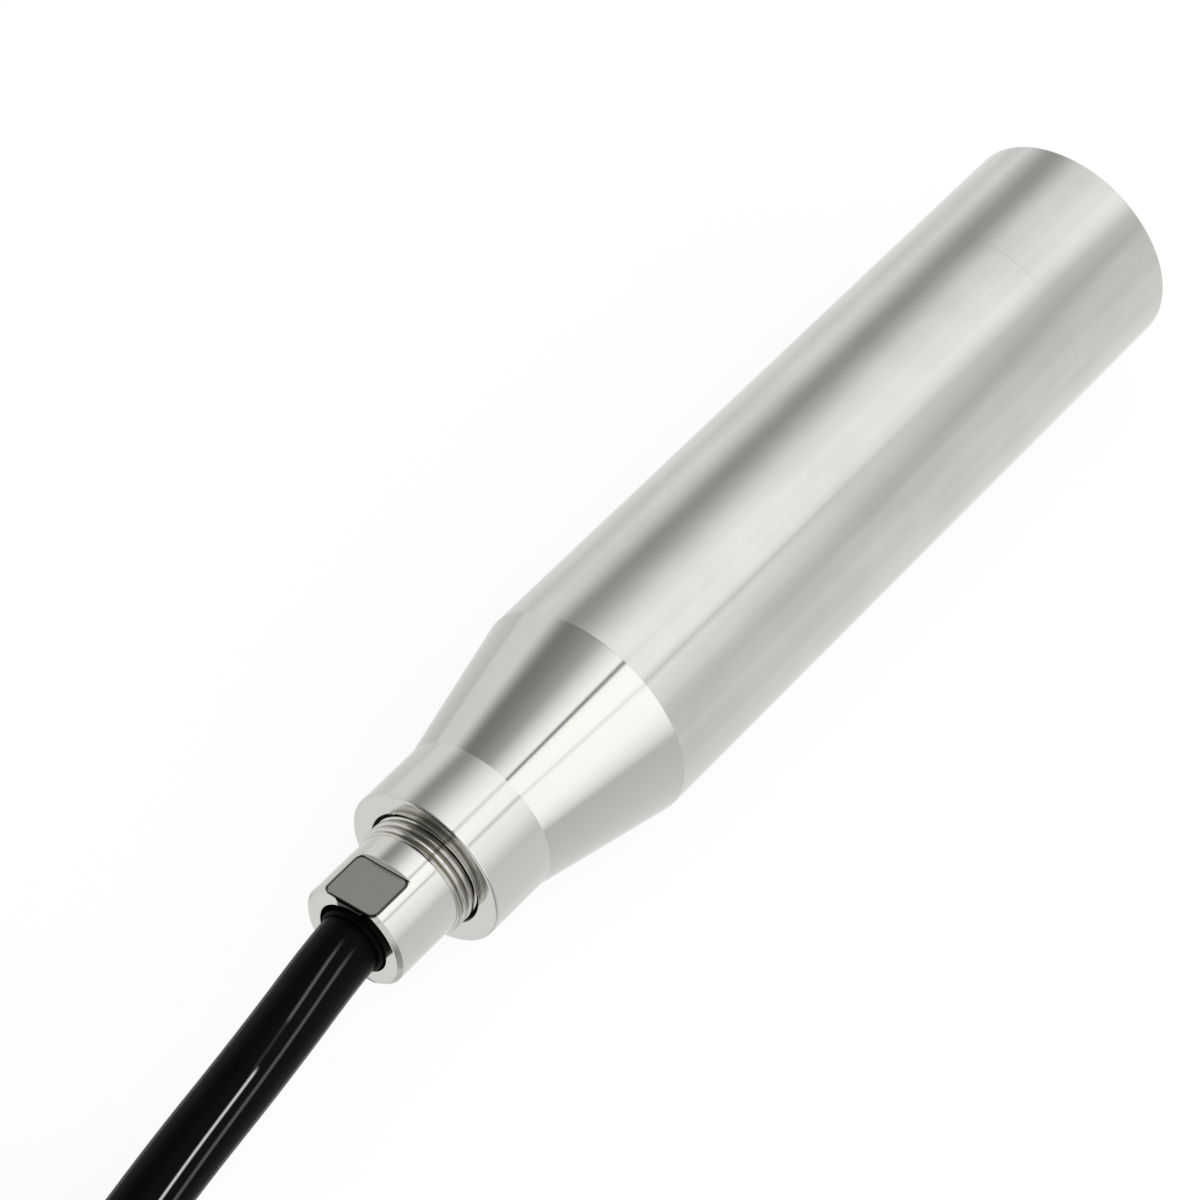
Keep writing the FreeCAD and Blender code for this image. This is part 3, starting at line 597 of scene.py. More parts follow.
def quads(rows, columns, wrap_rows, wrap_columns):
    """Corner numbers of the faces between the points of a grid."""
    i = np.arange(rows if wrap_rows else rows - 1)[:, None]
    j = np.arange(columns if wrap_columns else columns - 1)[None]
    below, beside = (i + 1) % rows, (j + 1) % columns
    corners = i * columns + j, below * columns + j, below * columns + beside, i * columns + beside
    return np.stack(np.broadcast_arrays(*corners), axis=-1).reshape(-1, 4)


def sheet_of(grid, wrap_rows=False, wrap_columns=False):
    """Points and faces of one grid."""
    rows, columns = grid.shape[:2]
    return grid.reshape(-1, 3), quads(rows, columns, wrap_rows, wrap_columns)


def piece(name, sheets, material, body, replaced=()):
    """One object from one or more sheets: joined where they meet, with its faces turned outwards."""
    same_point, sliver = 0.001 * MM, 0.0002 * MM
    starts = np.cumsum([0] + [len(points) for points, faces in sheets])
    points = np.concatenate([points for points, faces in sheets])
    faces = np.concatenate([faces + start for (_, faces), start in zip(sheets, starts)])
    mesh = bpy.data.meshes.new(name)
    mesh.from_pydata(points, [], faces)
    shell = bmesh.new()
    shell.from_mesh(mesh)
    bmesh.ops.remove_doubles(shell, verts=shell.verts, dist=same_point)
    bmesh.ops.dissolve_degenerate(shell, edges=shell.edges, dist=sliver)
    bmesh.ops.recalc_face_normals(shell, faces=shell.faces)
    shell.to_mesh(mesh)
    shell.free()
    mesh.shade_smooth()
    mesh.materials.append(material)
    made = bpy.data.objects.new(name, mesh)
    bpy.context.scene.collection.objects.link(made)
    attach(made, body)
    if replaced:
        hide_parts(*replaced)


def tube(path, radius, sides=14, round_ends=True):
    """A closed round tube along a path: rings square to the path, which shrink to a point at its ends."""
    nearly_up = (0.0, 0.31, 0.95)
    ahead = unit(np.gradient(path, axis=0))
    side = unit(np.cross(ahead, nearly_up))
    lift = np.cross(side, ahead)
    turns = around(sides)[None, :, None]
    rings = path[:, None] + radius * (np.cos(turns) * side[:, None] + np.sin(turns) * lift[:, None])
    if not round_ends:
        return sheet_of(rings, wrap_columns=True)
    bow = np.linspace(0.0, np.pi / 2, 5)[1:, None, None]
    bulge = 0.5 * radius * np.sin(bow)
    first = path[0] + np.cos(bow) * (rings[0] - path[0]) - bulge * ahead[0]
    last = path[-1] + np.cos(bow) * (rings[-1] - path[-1]) + bulge * ahead[-1]
    return sheet_of(np.concatenate([first[::-1], rings, last]), wrap_columns=True)


def dress(names, material):
    """Gives CAD nodes a finish."""
    for name in names:
        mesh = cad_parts[name].data
        mesh.materials.clear()
        mesh.materials.append(material)


class LEVELPROBE_OT_housing(Operator):
    """Turn the housing: neck, cone and barrel outside, and the bores inside"""

    bl_idname = "level_probe.housing"
    bl_label = "Housing"

    def execute(self, context):
        s = context.scene.probe_sizes
        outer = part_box("housing")[1].y
        corners = [
            (NECK_FACE, s.mouth_radius),
            (NECK_FACE, s.neck_radius),
            (NECK_FACE + s.neck_length, s.neck_radius),
            (NECK_FACE + s.neck_length + s.cone_length, outer),
            (SEAM, outer),
            (SEAM, s.cap_socket),
            (SEAM - s.cap_socket_depth, s.cap_socket),
            (SEAM - s.cap_socket_depth, s.cell_bore),
            (SEAM - s.cell_depth, s.cell_bore),
            (SEAM - s.cell_depth, s.chamber_radius),
            (NECK_FACE + s.passage_depth, s.chamber_radius),
            (NECK_FACE + s.passage_depth, s.passage_radius),
            (NECK_FACE + s.pocket_depth, s.passage_radius),
            (NECK_FACE + s.pocket_depth, s.pocket_radius),
            (NECK_FACE + s.socket_depth, s.pocket_radius),
            (NECK_FACE + s.socket_depth, s.socket_radius),
            (NECK_FACE + s.mouth_depth, s.socket_radius),
        ]
        radii = np.where([x == SEAM for x, _ in corners], s.seam_round, s.edge_round)
        radii[1] = s.neck_round
        outline = divided(rounded(corners, radii, 5), 6.0 * MM)
        grid = lathe(outline[:, :1], outline[:, 1:], around(192)[None])
        material = steel_finish(context.scene.finish_colours, s)
        piece("housing_surface", [sheet_of(grid, True, True)], material, "probe", ["housing"])
        return {"FINISHED"}


def ported_disc(place, inwards, s):
    """One side of the cap's end wall: a sheet for each port of the ring, and the edge of the centre port.

    Round each port a sheet is ruled from the port's circle to the border of its sector: an arc at the centre
    port, a spoke, an arc at the rim and a spoke back. Its first rows are the chamfer of the port.
    """
    rim_steps, hub_steps, spoke_steps = 24, 8, 10
    wedge = np.pi / s.ports
    rim = wedge * np.linspace(-1, 1, rim_steps, endpoint=False)
    hub = wedge * np.linspace(1, -1, hub_steps, endpoint=False)
    spoke = np.linspace(0, 1, spoke_steps, endpoint=False)
    hub_radius = s.centre_port + s.port_chamfer
    out = s.cap_bore + spoke * (hub_radius - s.cap_bore)
    back = hub_radius + spoke * (s.cap_bore - hub_radius)
    radii = np.concatenate([np.full(rim_steps, s.cap_bore), out, np.full(hub_steps, hub_radius), back])
    turns = np.concatenate([rim, np.full(spoke_steps, wedge), hub, np.full(spoke_steps, -wedge)])
    border = np.stack([radii * np.cos(turns), radii * np.sin(turns)], axis=-1)
    spokes = unit(border - np.array([s.port_ring, 0.0]))
    circle = np.array([s.port_ring, 0.0]) + (s.port_radius + s.port_chamfer) * spokes
    throat = np.array([s.port_ring, 0.0]) + s.port_radius * spokes
    share = np.linspace(0.0, 1.0, 6)[:, None, None] ** 1.5
    face = circle + share * (border - circle)
    flat = np.concatenate([throat[None], face])
    depth = np.full(flat.shape[:2], place)
    depth[0] += inwards * s.port_chamfer
    sectors = []
    for number in range(s.ports):
        spin = 2 * wedge * number
        spun = flat @ np.array([[np.cos(spin), np.sin(spin)], [-np.sin(spin), np.cos(spin)]])
        sectors.append(np.stack([depth, spun[..., 1], AXIS + spun[..., 0]], axis=-1))
    hub_turns = (2 * wedge * np.arange(s.ports)[:, None] + hub[None, ::-1]).ravel()
    ring = lathe(np.array([[place], [place + inwards * s.port_chamfer]]),
                 np.array([[hub_radius], [s.centre_port]]), hub_turns[None])
    return sectors, ring


class LEVELPROBE_OT_nose_cap(Operator):
    """Turn the nose cap with the thread on its spigot and the ports through its end"""

    bl_idname = "level_probe.nose_cap"
    bl_label = "Nose cap"

    def execute(self, context):
        s = context.scene.probe_sizes
        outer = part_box("nose_cap")[1].y
        wall = NOSE - s.cap_wall
        collar = SEAM + s.seam_gap
        break_edge, pitch, depth = 0.25 * MM, 1.0 * MM, 0.5 * MM
        corners = [
            (NOSE, s.cap_bore),
            (NOSE, outer - break_edge),
            (NOSE - break_edge, outer),
            (collar, outer),
            (collar, s.cap_thread),
            (CAP_BACK, s.cap_thread),
            (CAP_BACK, s.cap_bore),
        ]
        ring = rounded(corners, np.where([x == collar for x, _ in corners], s.seam_round, s.edge_round))
        per_corner = len(ring) // len(corners)
        ring = np.concatenate([corners[:1], ring[per_corner:], [(wall, s.cap_bore)]])
        threaded = (ring[:, 0] < collar) & (ring[:, 1] > s.cap_thread - 0.01 * MM)
        coarse, close = 5.0 * MM, 0.12 * MM
        outline = divided(ring, np.where(threaded, close, coarse))
        places, radii = outline[:, :1], outline[:, 1:]
        turns = around(24 * s.ports)[None] - np.pi / s.ports

        # The thread runs out before the collar and at the spigot's end
        cut = groove(places, turns, pitch) * smooth((collar - 0.8 * MM - places) / (0.5 * MM))
        cut *= smooth((places - CAP_BACK) / (0.6 * MM)) * (radii > s.cap_thread - 0.3 * MM)
        grid = lathe(places, radii - depth * cut, turns)

        # The end wall: two faces, the wall of each port between them, and the centre port
        fronts, front_hub = ported_disc(NOSE, -1.0, s)
        backs, back_hub = ported_disc(wall, 1.0, s)
        sheets = [sheet_of(grid, False, True)]
        sheets += [sheet_of(face, False, True) for face in fronts + backs]
        sheets += [sheet_of(np.stack([front[0], back[0]]), False, True) for front, back in zip(fronts, backs)]
        sheets.append(sheet_of(np.concatenate([front_hub, back_hub[::-1]]), False, True))
        material = bpy.data.materials["turned_stainless"]
        piece("nose_cap_surface", sheets, material, "nose_cap", ["nose_cap"])
        return {"FINISHED"}


class LEVELPROBE_OT_gland(Operator):
    """Turn the hollow gland screw, mill its flats and cut its thread"""

    bl_idname = "level_probe.gland"
    bl_label = "Gland screw"

    def execute(self, context):
        s = context.scene.gland_sizes
        grip_end = GLAND_OUT + s.grip_length
        chamfer = s.end_chamfer
        corners = [
            (GLAND_OUT, s.bore + s.bore_chamfer),
            (GLAND_OUT, s.grip_radius - chamfer),
            (GLAND_OUT + chamfer, s.grip_radius),
            (grip_end, s.grip_radius),
            (grip_end, s.thread_radius - 0.5 * chamfer),
            (grip_end + 0.5 * chamfer, s.thread_radius),
            (GLAND_IN - chamfer, s.thread_radius),
            (GLAND_IN, s.thread_radius - chamfer),
            (GLAND_IN, s.bore),
            (GLAND_OUT + s.bore_chamfer, s.bore),
        ]
        ring = rounded(corners, s.edge_round)

        # Rows: close on the grip and thread, and closest at the step wall where the flats end
        coarse, close, closest = 3.0 * MM, 0.085 * MM, 0.02 * MM
        wall = GLAND_OUT + s.flat_length + np.array([-0.1, 0.1]) * MM
        ends = np.column_stack([wall, np.full(2, s.grip_radius)])
        ring = np.insert(ring, 3 * (len(ring) // len(corners)), ends, axis=0)
        spacing = np.where(ring[:, 1] > s.flat_height, close, coarse)
        spacing[ring[:, 0] == wall[0]] = closest
        outline = divided(ring, spacing)
        places, radii = outline[:, :1], outline[:, 1:]

        # Columns: even, with more beside the long edges of the two flats
        edge = np.arccos(s.flat_height / s.grip_radius) * np.array([[-1.04, -1.0, -0.96, 0.96, 1.0, 1.04]])
        beside = s.flat_turn + np.array([0.0, np.pi])[:, None] + edge
        turns = np.unique(np.concatenate([around(150), beside.ravel() % (2 * np.pi)]).round(6))[None]

        # A flat is the soft minimum of the turned radius and the plane's height over the cosine of the turn
        level = s.flat_height / np.maximum(np.abs(np.cos(turns - s.flat_turn)), 0.2)
        soft = 0.25 * s.edge_round
        milled = -soft * np.logaddexp(-radii / soft, -level / soft)
        share = 1.0 - smooth((places - GLAND_OUT - s.flat_length) / (0.15 * MM) + 0.5)
        radii = np.where(radii > 0.95 * s.flat_height, radii + share * (milled - radii), radii)

        # The thread runs out beside the grip and at the inner end
        cut = groove(places, turns, s.thread_pitch) * smooth((places - grip_end) / (0.4 * MM))
        cut *= smooth((GLAND_IN - places) / (0.5 * MM)) * (radii > s.thread_radius - 0.6 * MM)
        grid = lathe(places, radii - s.thread_depth * cut, turns)
        material = nickel_finish(context.scene.finish_colours, s)
        piece("gland_screw_surface", [sheet_of(grid, True, True)], material, "gland_screw",
              ["gland_screw"])
        return {"FINISHED"}


class LEVELPROBE_OT_inside(Operator):
    """Finish the cell, the board, the seal and the other pieces inside the probe"""

    bl_idname = "level_probe.inside"
    bl_label = "Inner pieces"

    def execute(self, context):
        c = context.scene.finish_colours
        dress(["sensor_cell", "diaphragm", "weld_ring", "clamp_ring", "reference_tube", "thrust_washer",
               "seat_washer"], plain_steel_finish(c))
        dress(["cell_o_ring", "cable_seal"], moulded_finish("black_rubber", c.rubber, 0.62, 1500.0, 0.02))
        dress(["header_pins"], bare_metal_finish("gold_flash", c.gold))
        dress(["board_sleeve"], moulded_finish("sleeve_plastic", c.sleeve, 0.45))
        dress(["circuit_board"], board_finish(c))
        dress(["loop_driver", "amplifier", "surge_diode", "resistors"],
              moulded_finish("package_resin", c.package, 0.55, 4000.0, 0.02))
        dress(["capacitors"], moulded_finish("capacitor_resin", c.tantalum, 0.4, 2000.0))
        dress(["red_core"], moulded_finish("red_insulation", c.red, 0.35))
        dress(["black_core"], moulded_finish("black_insulation", c.black, 0.35))
        dress(["vent_tube"], moulded_finish("natural_polyamide", c.vent, 0.38))
        return {"FINISHED"}


def hank_layout(s):
    """Centre of the near end turn, and the height of the lowest cable centre, from the CAD hank."""
    low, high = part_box("cable_hank")
    reach = s.outer_turn + s.diameter / 2
    return high.x - reach, (low.y + high.y) / 2, s.lift + s.diameter / 2


def winding(s):
    """Control points of the hank's turns.

    A turn runs along -X on the near side, round the far end, back along +X and round the near end. Layers
    hold two turns, and the outer and inner slots alternate in, in, out, out. A tenth of a turn is a smooth
    step to the next slot or layer. On the ends the points stand a little outside the arc, because the curve
    of second degree passes inside its points by (1 - cos of a step) / 4 of the radius.
    """
    near, side, bottom = hank_layout(s)
    end_steps, run_steps, change, first = 8, 5, 0.1, 0.5
    arc_length = np.pi * (s.outer_turn - s.slot_step / 2)
    arc = 0.5 * arc_length / (arc_length + s.run)
    run = 0.5 - arc
    on_runs = run * np.arange(run_steps) / run_steps
    on_ends = run + arc * np.arange(end_steps) / end_steps
    half_turn = np.concatenate([on_runs, on_ends])
    turn = np.concatenate([half_turn, half_turn + 0.5])
    p = (np.arange(int(s.turns) + 1)[:, None] + turn[None]).ravel()
    p = np.append(p[p < s.turns - 0.02], s.turns)

    # Slot and layer at each point
    count = np.maximum(np.floor((p - first) / (1 - change)) + 1, 0)
    share = np.where(count == 0, 1.0, smooth((p - first - (count - 1) * (1 - change)) / change))
    before = np.maximum(count - 1, 0)
    slot = [np.isin(number % 4, (1, 2)).astype(float) for number in (before, count)]
    layer = [np.floor(number / 2) for number in (before, count)]
    radius = s.outer_turn - s.slot_step * (slot[0] + share * (slot[1] - slot[0]))
    height = bottom + s.diameter * (layer[0] + share * (layer[1] - layer[0]))

    # Place on the run or on the end turn
    back = p % 1.0 >= 0.5
    part = p % 0.5
    on_run = part < run - 1e-9
    bend = np.pi * np.clip((part - run) / arc, 0.0, 1.0)
    wide = radius * 8.0 / (6.0 + 2.0 * np.cos(np.pi / end_steps))
    x = np.where(on_run, -s.run * np.clip(part / run, 0.0, 1.0), -s.run - wide * np.sin(bend))
    y = np.where(on_run, -radius, -wide * np.cos(bend))
    x = np.where(back, -s.run - x, x)
    y = np.where(back, -y, y)
    return np.stack([near + x, side + y, height], axis=-1)


class LEVELPROBE_OT_ties(Operator):
    """Bind the hank with two plastic-covered wire ties"""

    bl_idname = "level_probe.ties"
    bl_label = "Ties"

    def execute(self, context):
        s = context.scene.cable_sizes
        near, side, _ = hank_layout(s)
        low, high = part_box("cable_hank")
        place = near - s.tie_place
        inner = s.outer_turn - s.slot_step - s.diameter / 2
        outer = s.outer_turn + s.diameter / 2
        thick = s.lift
        half, flat = thick / 2, 0.48 * thick
        corner = s.diameter / 2 + half
        sheets = []
        for inside, outside in ((side - inner, side - outer), (side + inner, side + outer)):
            left, right = sorted((inside, outside))
            box = [(left - half, low.z - half), (right + half, low.z - half),
                   (right + half, high.z + half), (left - half, high.z + half)]
            loop = divided(rounded(box, corner, 6), 4.0 * MM)
            ahead = unit(np.roll(loop, -1, axis=0) - np.roll(loop, 1, axis=0))
            out = np.stack([ahead[:, 1], -ahead[:, 0]], axis=-1)
            strip = rounded([(0.0, -flat), (s.tie_width, -flat), (s.tie_width, flat), (0.0, flat)],
                            0.3 * thick)
            wave = 1.0 + 0.25 * np.cos(2 * np.pi * strip[:, 0] / s.tie_width)
            across = loop[:, None] + (strip[:, 1] * wave)[None, :, None] * out[:, None]
            along = np.broadcast_to(place + strip[None, :, 0], across.shape[:2])
            sheets.append(sheet_of(np.stack([along, across[..., 0], across[..., 1]], axis=-1), True, True))
            sheets += self.twist(place + s.tie_width / 2, (left + right) / 2, high.z + 2.2 * thick, thick)
        material = moulded_finish("tie_plastic", context.scene.finish_colours.tie, 0.4)
        piece("hank_tie_straps", sheets, material, "probe", ["hank_ties"])
        return {"FINISHED"}

    def twist(self, x, y, z, thick):
        """The tie's two ends wound round each other: two helices half a turn apart along X."""
        reach, turns, radius, wire = 11.0 * MM, 4.0, 0.62 * thick, 0.496 * thick
        t = np.linspace(0.0, 1.0, 90)
        spin = 2 * np.pi * turns * t
        ends = []
        for start in (0.0, np.pi):
            path = np.stack([x + reach * t, y + radius * np.cos(spin + start),
                             z + radius * np.sin(spin + start)], axis=-1)
            ends.append(tube(path, wire, 10))
        return ends


class LEVELPROBE_OT_stripped_end(Operator):
    """Strip the cable's free end: two cores with bare tips and the vent tube"""

    bl_idname = "level_probe.stripped_end"
    bl_label = "Stripped end"

    def execute(self, context):
        s = context.scene.cable_sizes
        low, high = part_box("cable_tail")
        jacket_end, side, middle = low.x, (low.y + high.y) / 2, (low.z + high.z) / 2
        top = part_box("cable_hank")[1].z
        core_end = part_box("tail_red_core")[0].x
        t = np.linspace(0.0, 1.0, 40)
        strands = []

        # Each leaves the jacket, rises to lie on top of the hank, and sways a little on its way
        apart, spreading, sway = 1.3 * MM, 0.35 * MM, 0.25 * MM
        for name, slot, finish, spread, lift, radius in (
                ("tail_red_core", "core_red", "red_insulation", 1.0, 0.0, s.core_radius),
                ("tail_black_core", "core_black", "black_insulation", -1.0, 0.0, s.core_radius),
                ("tail_vent_tube", "vent_clear", "natural_polyamide", 0.0, 1.0, s.vent_radius)):
            begin = np.array([jacket_end + 1.0 * MM, side + spread * apart, middle + (lift * 1.6 - 0.4) * MM])
            rest = top + radius + 0.1 * MM + lift * 2.05 * s.core_radius
            path = np.stack([
                begin[0] + t * (core_end - begin[0]),
                begin[1] + spread * (spreading * smooth(t) + sway * np.sin(7.0 * t)),
                begin[2] + smooth(2.2 * t) * (rest - begin[2]),
            ], axis=-1)
            wire = tube(path, radius, 16, lift == 0.0)
            piece(name + "_wire", [wire], bpy.data.materials[finish], "probe", [name])
            if lift == 0.0:
                strands += self.bare_tip(path[-1], s.strand_radius)
        copper = bare_metal_finish("bare_copper", context.scene.finish_colours.copper)
        piece("tail_conductor_strands", strands, copper, "probe", ["tail_conductors"])
        return {"FINISHED"}

    def bare_tip(self, end, strand):
        """Seven strands: one straight, six wound round it at two strand radii."""
        reach, turns = 6.8 * MM, 1.2
        t = np.linspace(0.0, 1.0, 24)
        spin = 2 * np.pi * turns * t
        tips = []
        for number in range(7):
            wide = 0.0 if number == 6 else 2.0 * strand
            start = np.pi * number / 3
            path = np.stack([end[0] + 0.4 * MM - reach * t, end[1] + wide * np.cos(spin + start),
                             end[2] + wide * np.sin(spin + start)], axis=-1)
            tips.append(tube(path, strand, 8))
        return tips


class LEVELPROBE_OT_cable(Operator):
    """Lead the cable from the chamber through the gland to its hank and its free end"""

    bl_idname = "level_probe.cable"
    bl_label = "Cable"

    def execute(self, context):
        s = context.scene.cable_sizes

        # Control points from the chamber to the hank, in millimetres, laid along the cable in the photograph
        route = np.array([
            (-37.5, 0.0, 14.0),
            (-53.7, 0.2, 14.0),
            (-66.8, 0.2, 14.02),
            (-83.7, -1.87, 12.5),
            (-102.3, -3.2, 10.6),
            (-127.3, -5.95, 6.8),
        ]) * MM
        points = np.concatenate([route, winding(s)])
        line = bpy.data.curves.new("cable_line", "CURVE")
        line.dimensions = "3D"
        spline = line.splines.new("NURBS")
        spline.points.add(len(points) - 1)
        spline.points.foreach_set("co", np.column_stack([points, np.ones(len(points))]).ravel())
        spline.order_u = 3
        spline.use_endpoint_u = True
        spline.resolution_u = 6
        line.bevel_depth = s.diameter / 2
        line.bevel_resolution = 5
        line.use_fill_caps = True
        line.materials.append(jacket_finish(context.scene.finish_colours, len(points)))
        cable = bpy.data.objects.new("cable_jacket", line)
        context.scene.collection.objects.link(cable)
        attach(cable, "probe")
        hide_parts("cable", "cable_hank", "cable_tail")
        self.bush(s, context.scene.finish_colours)
        return {"FINISHED"}

    def bush(self, s, colours):
        """The rubber bush on the jacket in the gland's mouth: a ring of square outline with round edges."""
        out, back = GLAND_OUT - s.bush_out, GLAND_OUT + 3.0 * MM
        grip = 0.96 * s.diameter / 2
        sag = np.array([0.0, -0.25, 0.1]) * MM
        corners = [(out, grip), (out, s.bush_radius), (back, s.bush_radius), (back, grip)]
        outline = rounded(corners, np.array([0.05, 0.35, 0.3, 0.05]) * MM, 6)
        grid = lathe(outline[:, :1], outline[:, 1:], around(96)[None]) + sag
        material = moulded_finish("bush_rubber", colours.jacket, 0.4, 1500.0, 0.02, 0.05)
        piece("mouth_bush", [sheet_of(grid, True, True)], material, "probe")


def jacket_finish(colours, points):
    """Extruded black jacket: glossy, with a faint grain and two pale lines of painted highlight that wind
    slowly round it.

    The jacket's own map runs along the cable and round it. A line is where the way round differs from a start
    less a drift times the way along, by less than the line's width. The way along counts control points.
    """
    finish = Finish("black_jacket")
    chart = finish.add("ShaderNodeTexCoord", None, None, "UV")
    along = finish.add("ShaderNodeSeparateXYZ", None, {0: chart}, 0) * (points - 2.0)
    round_it = finish.add("ShaderNodeSeparateXYZ", None, {0: chart}, 1)
    dust = finish.noise((300.0, 300.0, 300.0), 4.0)
    grain = finish.noise((900.0, 900.0, 900.0), 3.0)

    def line(start, drift, width):
        """A line with soft sides: its start and width in turns, its drift in turns a control point."""
        turn = round_it - start + along * drift
        return finish.below(abs(turn - turn.nearest_whole()), 0.0, width)

    # Painted highlights: the upper line leaves the gland dim, stops and goes on bright and patchy. The lower
    # line stays dim.
    outside = finish.step(along, 1.60, 1.85)
    bright = finish.step(along, 2.64, 2.72)
    dim = (1 - bright) * (0.035 + 0.12 * finish.below(along, 2.28, 2.34))
    patches = finish.add("ShaderNodeTexNoise", {"noise_dimensions": "1D"},
                         {"W": along, "Scale": 0.8, "Detail": 2.0}, "Fac")
    upper = line(0.1934, 0.0319, 0.012) * dim + line(0.1527, 0.0209, 0.010) * bright * (0.7 + 0.5 * patches)
    lower = line(0.1246, 0.0294, 0.013) * 0.12
    tint = finish.mix(dust, colours.jacket, shaded(colours.jacket, 1.6))
    return finish.close({
        "Base Color": finish.mix(upper.at_least(lower) * outside, tint, colours.streak_highlight),
        "Roughness": 0.24 + 0.12 * dust, "Normal": finish.bump(grain, 0.001 * MM), "Specular IOR Level": 0.03,
        "Sheen Weight": 0.03, "Sheen Roughness": 0.4,
    })


def stand(name, maker, place, aim):
    """Links a lamp or the camera, looking along a direction with its top edge level."""
    made = bpy.data.objects.new(name, maker)
    forward = Vector(aim).normalized()
    right = forward.cross(Vector((0.0, 0.0, 1.0))).normalized()
    up = right.cross(forward)
    turn = Matrix((right, up, -forward)).transposed().to_4x4()
    made.matrix_world = Matrix.Translation(Vector(place)) @ turn
    bpy.context.scene.collection.objects.link(made)
    return made


def soft_lamp(name, place, width, height, brightness):
    """A soft box that faces the probe, with the brightness that its surface shows."""
    lamp = bpy.data.lights.new(name, "AREA")
    lamp.shape = "RECTANGLE"
    lamp.size, lamp.size_y = width, height
    lamp.energy = brightness * math.pi * width * height
    made = stand(name, lamp, place, -Vector(place))
    made.visible_camera = False
    made.visible_glossy = False


def panel(nodes, way, behind, aim, half, light, soft):
    """A soft panel in the mirrored room, laid over what is behind it.

    The panel stands square to its aim at distance one, and a way meets it at the parts of the way to the
    right and upwards, over its part along the aim. The panel fades out over the soft part of its edges.
    """
    least = 0.05
    azimuth, elevation, roll = aim
    forward = Vector((math.cos(elevation) * math.sin(azimuth), -math.cos(elevation) * math.cos(azimuth),
                      math.sin(elevation)))
    right = Vector((0.0, 0.0, 1.0)).cross(forward).normalized()
    up = forward.cross(right)
    right, up = right * math.cos(roll) + up * math.sin(roll), up * math.cos(roll) - right * math.sin(roll)
    ahead = nodes.part(way, forward)
    aside = nodes.part(way, right) / ahead.at_least(least)
    rise = nodes.part(way, up) / ahead.at_least(least)
    share = nodes.step(half[0] - abs(aside), 0.0, soft[0]) * nodes.step(ahead, least, 1.2 * least)
    share = share * nodes.step(half[1] - rise, 0.0, soft[1]) * nodes.step(half[1] + rise, 0.0, soft[2])
    return behind + share * (nodes.ramp(rise, -half[1], half[1], light[0], light[1]) - behind)


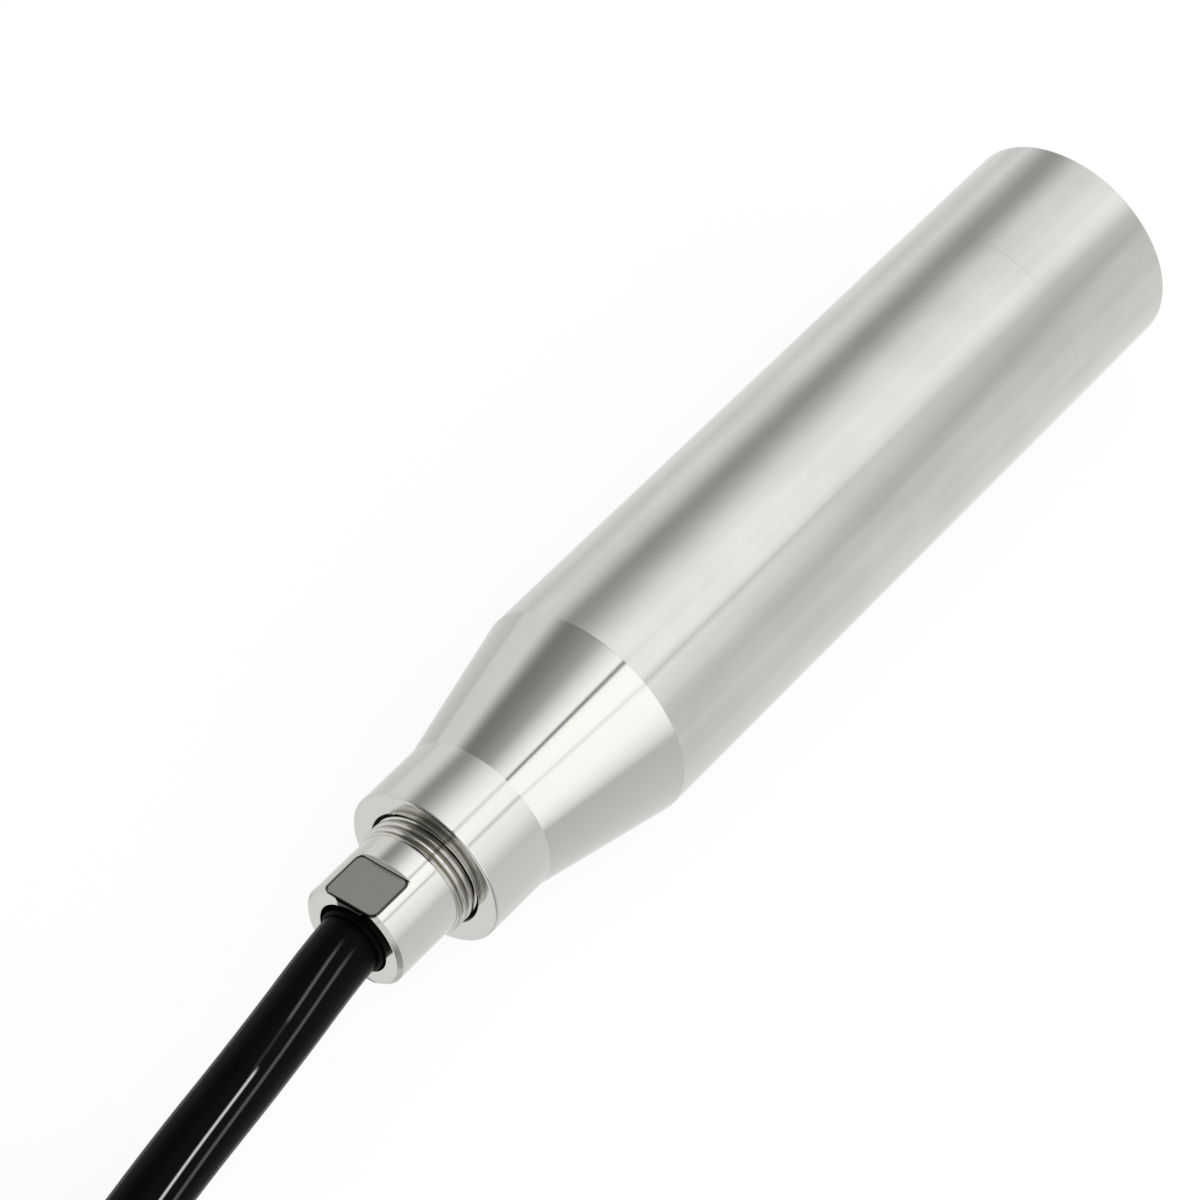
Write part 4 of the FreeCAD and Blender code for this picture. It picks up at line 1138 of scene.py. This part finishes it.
class LEVELPROBE_OT_studio(Operator):
    """Set up the floor, the soft lamp, the room with its panels, and the camera"""

    bl_idname = "level_probe.studio"
    bl_label = "Studio"

    def execute(self, context):
        s = context.scene.studio
        scene = context.scene
        scene.view_settings.view_transform = "Standard"
        self.floor(s)
        soft_lamp("soft_lamp", s.lamp_place, s.lamp_width, s.lamp_height, s.lamp_light)
        self.room(scene, s)
        camera = bpy.data.cameras.new("photo_camera")
        camera.angle = s.camera_angle
        camera.clip_start, camera.clip_end = 0.01, 50.0
        scene.camera = stand("photo_camera", camera, s.camera_place, s.camera_aim)
        return {"FINISHED"}

    def floor(self, s):
        """A pale level floor that looks white and keeps a part of the probe's shadow.

        Polished surfaces look through it to the ground half of the room.
        """
        reach = 6.0
        mesh = bpy.data.meshes.new("floor")
        mesh.from_pydata([(-reach, -reach, 0), (reach, -reach, 0), (reach, reach, 0), (-reach, reach, 0)],
                         [], [(0, 1, 2, 3)])
        material = bpy.data.materials.new("pale_floor")
        material.use_nodes = True
        nodes = Nodes(material.node_tree)
        seen = nodes.add("ShaderNodeLightPath", None, None, "Is Camera Ray")
        matt = nodes.add("ShaderNodeBsdfDiffuse", None, {"Color": (0.98, 0.98, 0.98, 1.0)})
        glow = nodes.add("ShaderNodeEmission", None, {"Color": (1.0, 1.0, 1.0, 1.0), "Strength": 1.0})
        surface = nodes.add("ShaderNodeMixShader", None, {0: seen * (1.0 - s.shadow), 1: matt, 2: glow})
        nodes.add("ShaderNodeOutputMaterial", None, {"Surface": surface})
        mesh.materials.append(material)
        made = bpy.data.objects.new("floor", mesh)
        bpy.context.scene.collection.objects.link(made)
        made.visible_glossy = False

    def room(self, scene, s):
        """A pale room: white to the camera, even on matt surfaces, and with soft panels in polished ones."""
        world = bpy.data.worlds.new("studio_room")
        world.use_nodes = True
        nodes = Nodes(world.node_tree)
        seen = nodes.add("ShaderNodeLightPath", None, None, "Is Camera Ray")
        mirrored = nodes.add("ShaderNodeLightPath", None, None, "Is Glossy Ray")
        through = nodes.add("ShaderNodeLightPath", None, None, "Is Transmission Ray")
        way = nodes.add("ShaderNodeTexCoord", None, None, "Generated")
        ceiling = nodes.part(way, s.ceiling[1:]) + s.ceiling[0]
        ground = nodes.part(way, s.ground[1:]) + s.ground[0]
        view = ground + (ceiling - ground) * nodes.step(nodes.part(way, (0.0, 0.0, 1.0)), -0.03, 0.03)
        if not s.panels:
            self.hang_panels(s)
        for hung in s.panels:
            view = panel(nodes, way, view, hung.aim, hung.half, hung.light, hung.soft)
        view = view * (1 - self.gaps(nodes, way, s))
        light = (1 - mirrored) * s.room + mirrored * view
        light = light + (seen + through) * (1 - light)
        glow = nodes.add("ShaderNodeBackground", None, {"Color": light, "Strength": 1.0})
        nodes.add("ShaderNodeOutputWorld", None, {"Surface": glow})
        scene.world = world

    def hang_panels(self, s):
        """Fills the studio's list of panels from the table."""
        for name, (aim, half, light, soft) in PANELS.items():
            hung = s.panels.add()
            hung.name, hung.aim = name, [math.radians(degrees) for degrees in aim]
            hung.half, hung.light, hung.soft = half, light, soft

    def gaps(self, nodes, way, s):
        """Dark gaps along X: where the way's part square to a gap's plane is small, deeper at some ends."""
        end = nodes.part(way, (1.0, 0.0, 0.0))
        depths = [nodes.ramp(end, 0.41, 0.54, 0.85, 0.0),
                  nodes.ramp(end, 0.23, 0.48, 0.20, 0.45) * nodes.ramp(end, 0.54, 0.60, 1.0, 0.0)]
        gaps = []
        for turn, depth in zip((s.upper_gap, s.lower_gap), depths):
            square = abs(nodes.part(way, (0.0, math.cos(turn), -math.sin(turn))))
            front = nodes.step(nodes.part(way, (0.0, math.sin(turn), math.cos(turn))), 0.0, 0.1)
            gaps.append(nodes.below(square, 0.6 * s.gap_width, 1.4 * s.gap_width) * front * depth)
        return gaps[0].at_least(gaps[1])


OPERATORS = (
    LEVELPROBE_OT_housing,
    LEVELPROBE_OT_nose_cap,
    LEVELPROBE_OT_gland,
    LEVELPROBE_OT_inside,
    LEVELPROBE_OT_ties,
    LEVELPROBE_OT_stripped_end,
    LEVELPROBE_OT_cable,
    LEVELPROBE_OT_studio,
)


class LEVELPROBE_PT_panel(Panel):
    """Lists the pieces in the order in which they are built"""

    bl_label = "Level probe"
    bl_idname = "LEVELPROBE_PT_panel"
    bl_space_type = "VIEW_3D"
    bl_region_type = "UI"
    bl_category = "Level probe"

    def draw(self, context):
        for operator in OPERATORS:
            self.layout.operator(operator.bl_idname)


def register():
    """Adds the settings, the operators and the panel."""
    bpy.utils.register_class(StudioPanel)
    for name, group in SIZES.items():
        bpy.utils.register_class(group)
        setattr(bpy.types.Scene, name, PointerProperty(type=group))
    for operator in OPERATORS:
        bpy.utils.register_class(operator)
    bpy.utils.register_class(LEVELPROBE_PT_panel)


def unregister():
    """Takes away what register added."""
    bpy.utils.unregister_class(LEVELPROBE_PT_panel)
    for operator in reversed(OPERATORS):
        bpy.utils.unregister_class(operator)
    for name, group in SIZES.items():
        delattr(bpy.types.Scene, name)
        bpy.utils.unregister_class(group)
    bpy.utils.unregister_class(StudioPanel)


def main():
    """Builds every piece."""
    register()
    bpy.ops.level_probe.housing()
    bpy.ops.level_probe.nose_cap()
    bpy.ops.level_probe.gland()
    bpy.ops.level_probe.inside()
    bpy.ops.level_probe.ties()
    bpy.ops.level_probe.stripped_end()
    bpy.ops.level_probe.cable()
    bpy.ops.level_probe.studio()


if __name__ == "__main__":
    main()
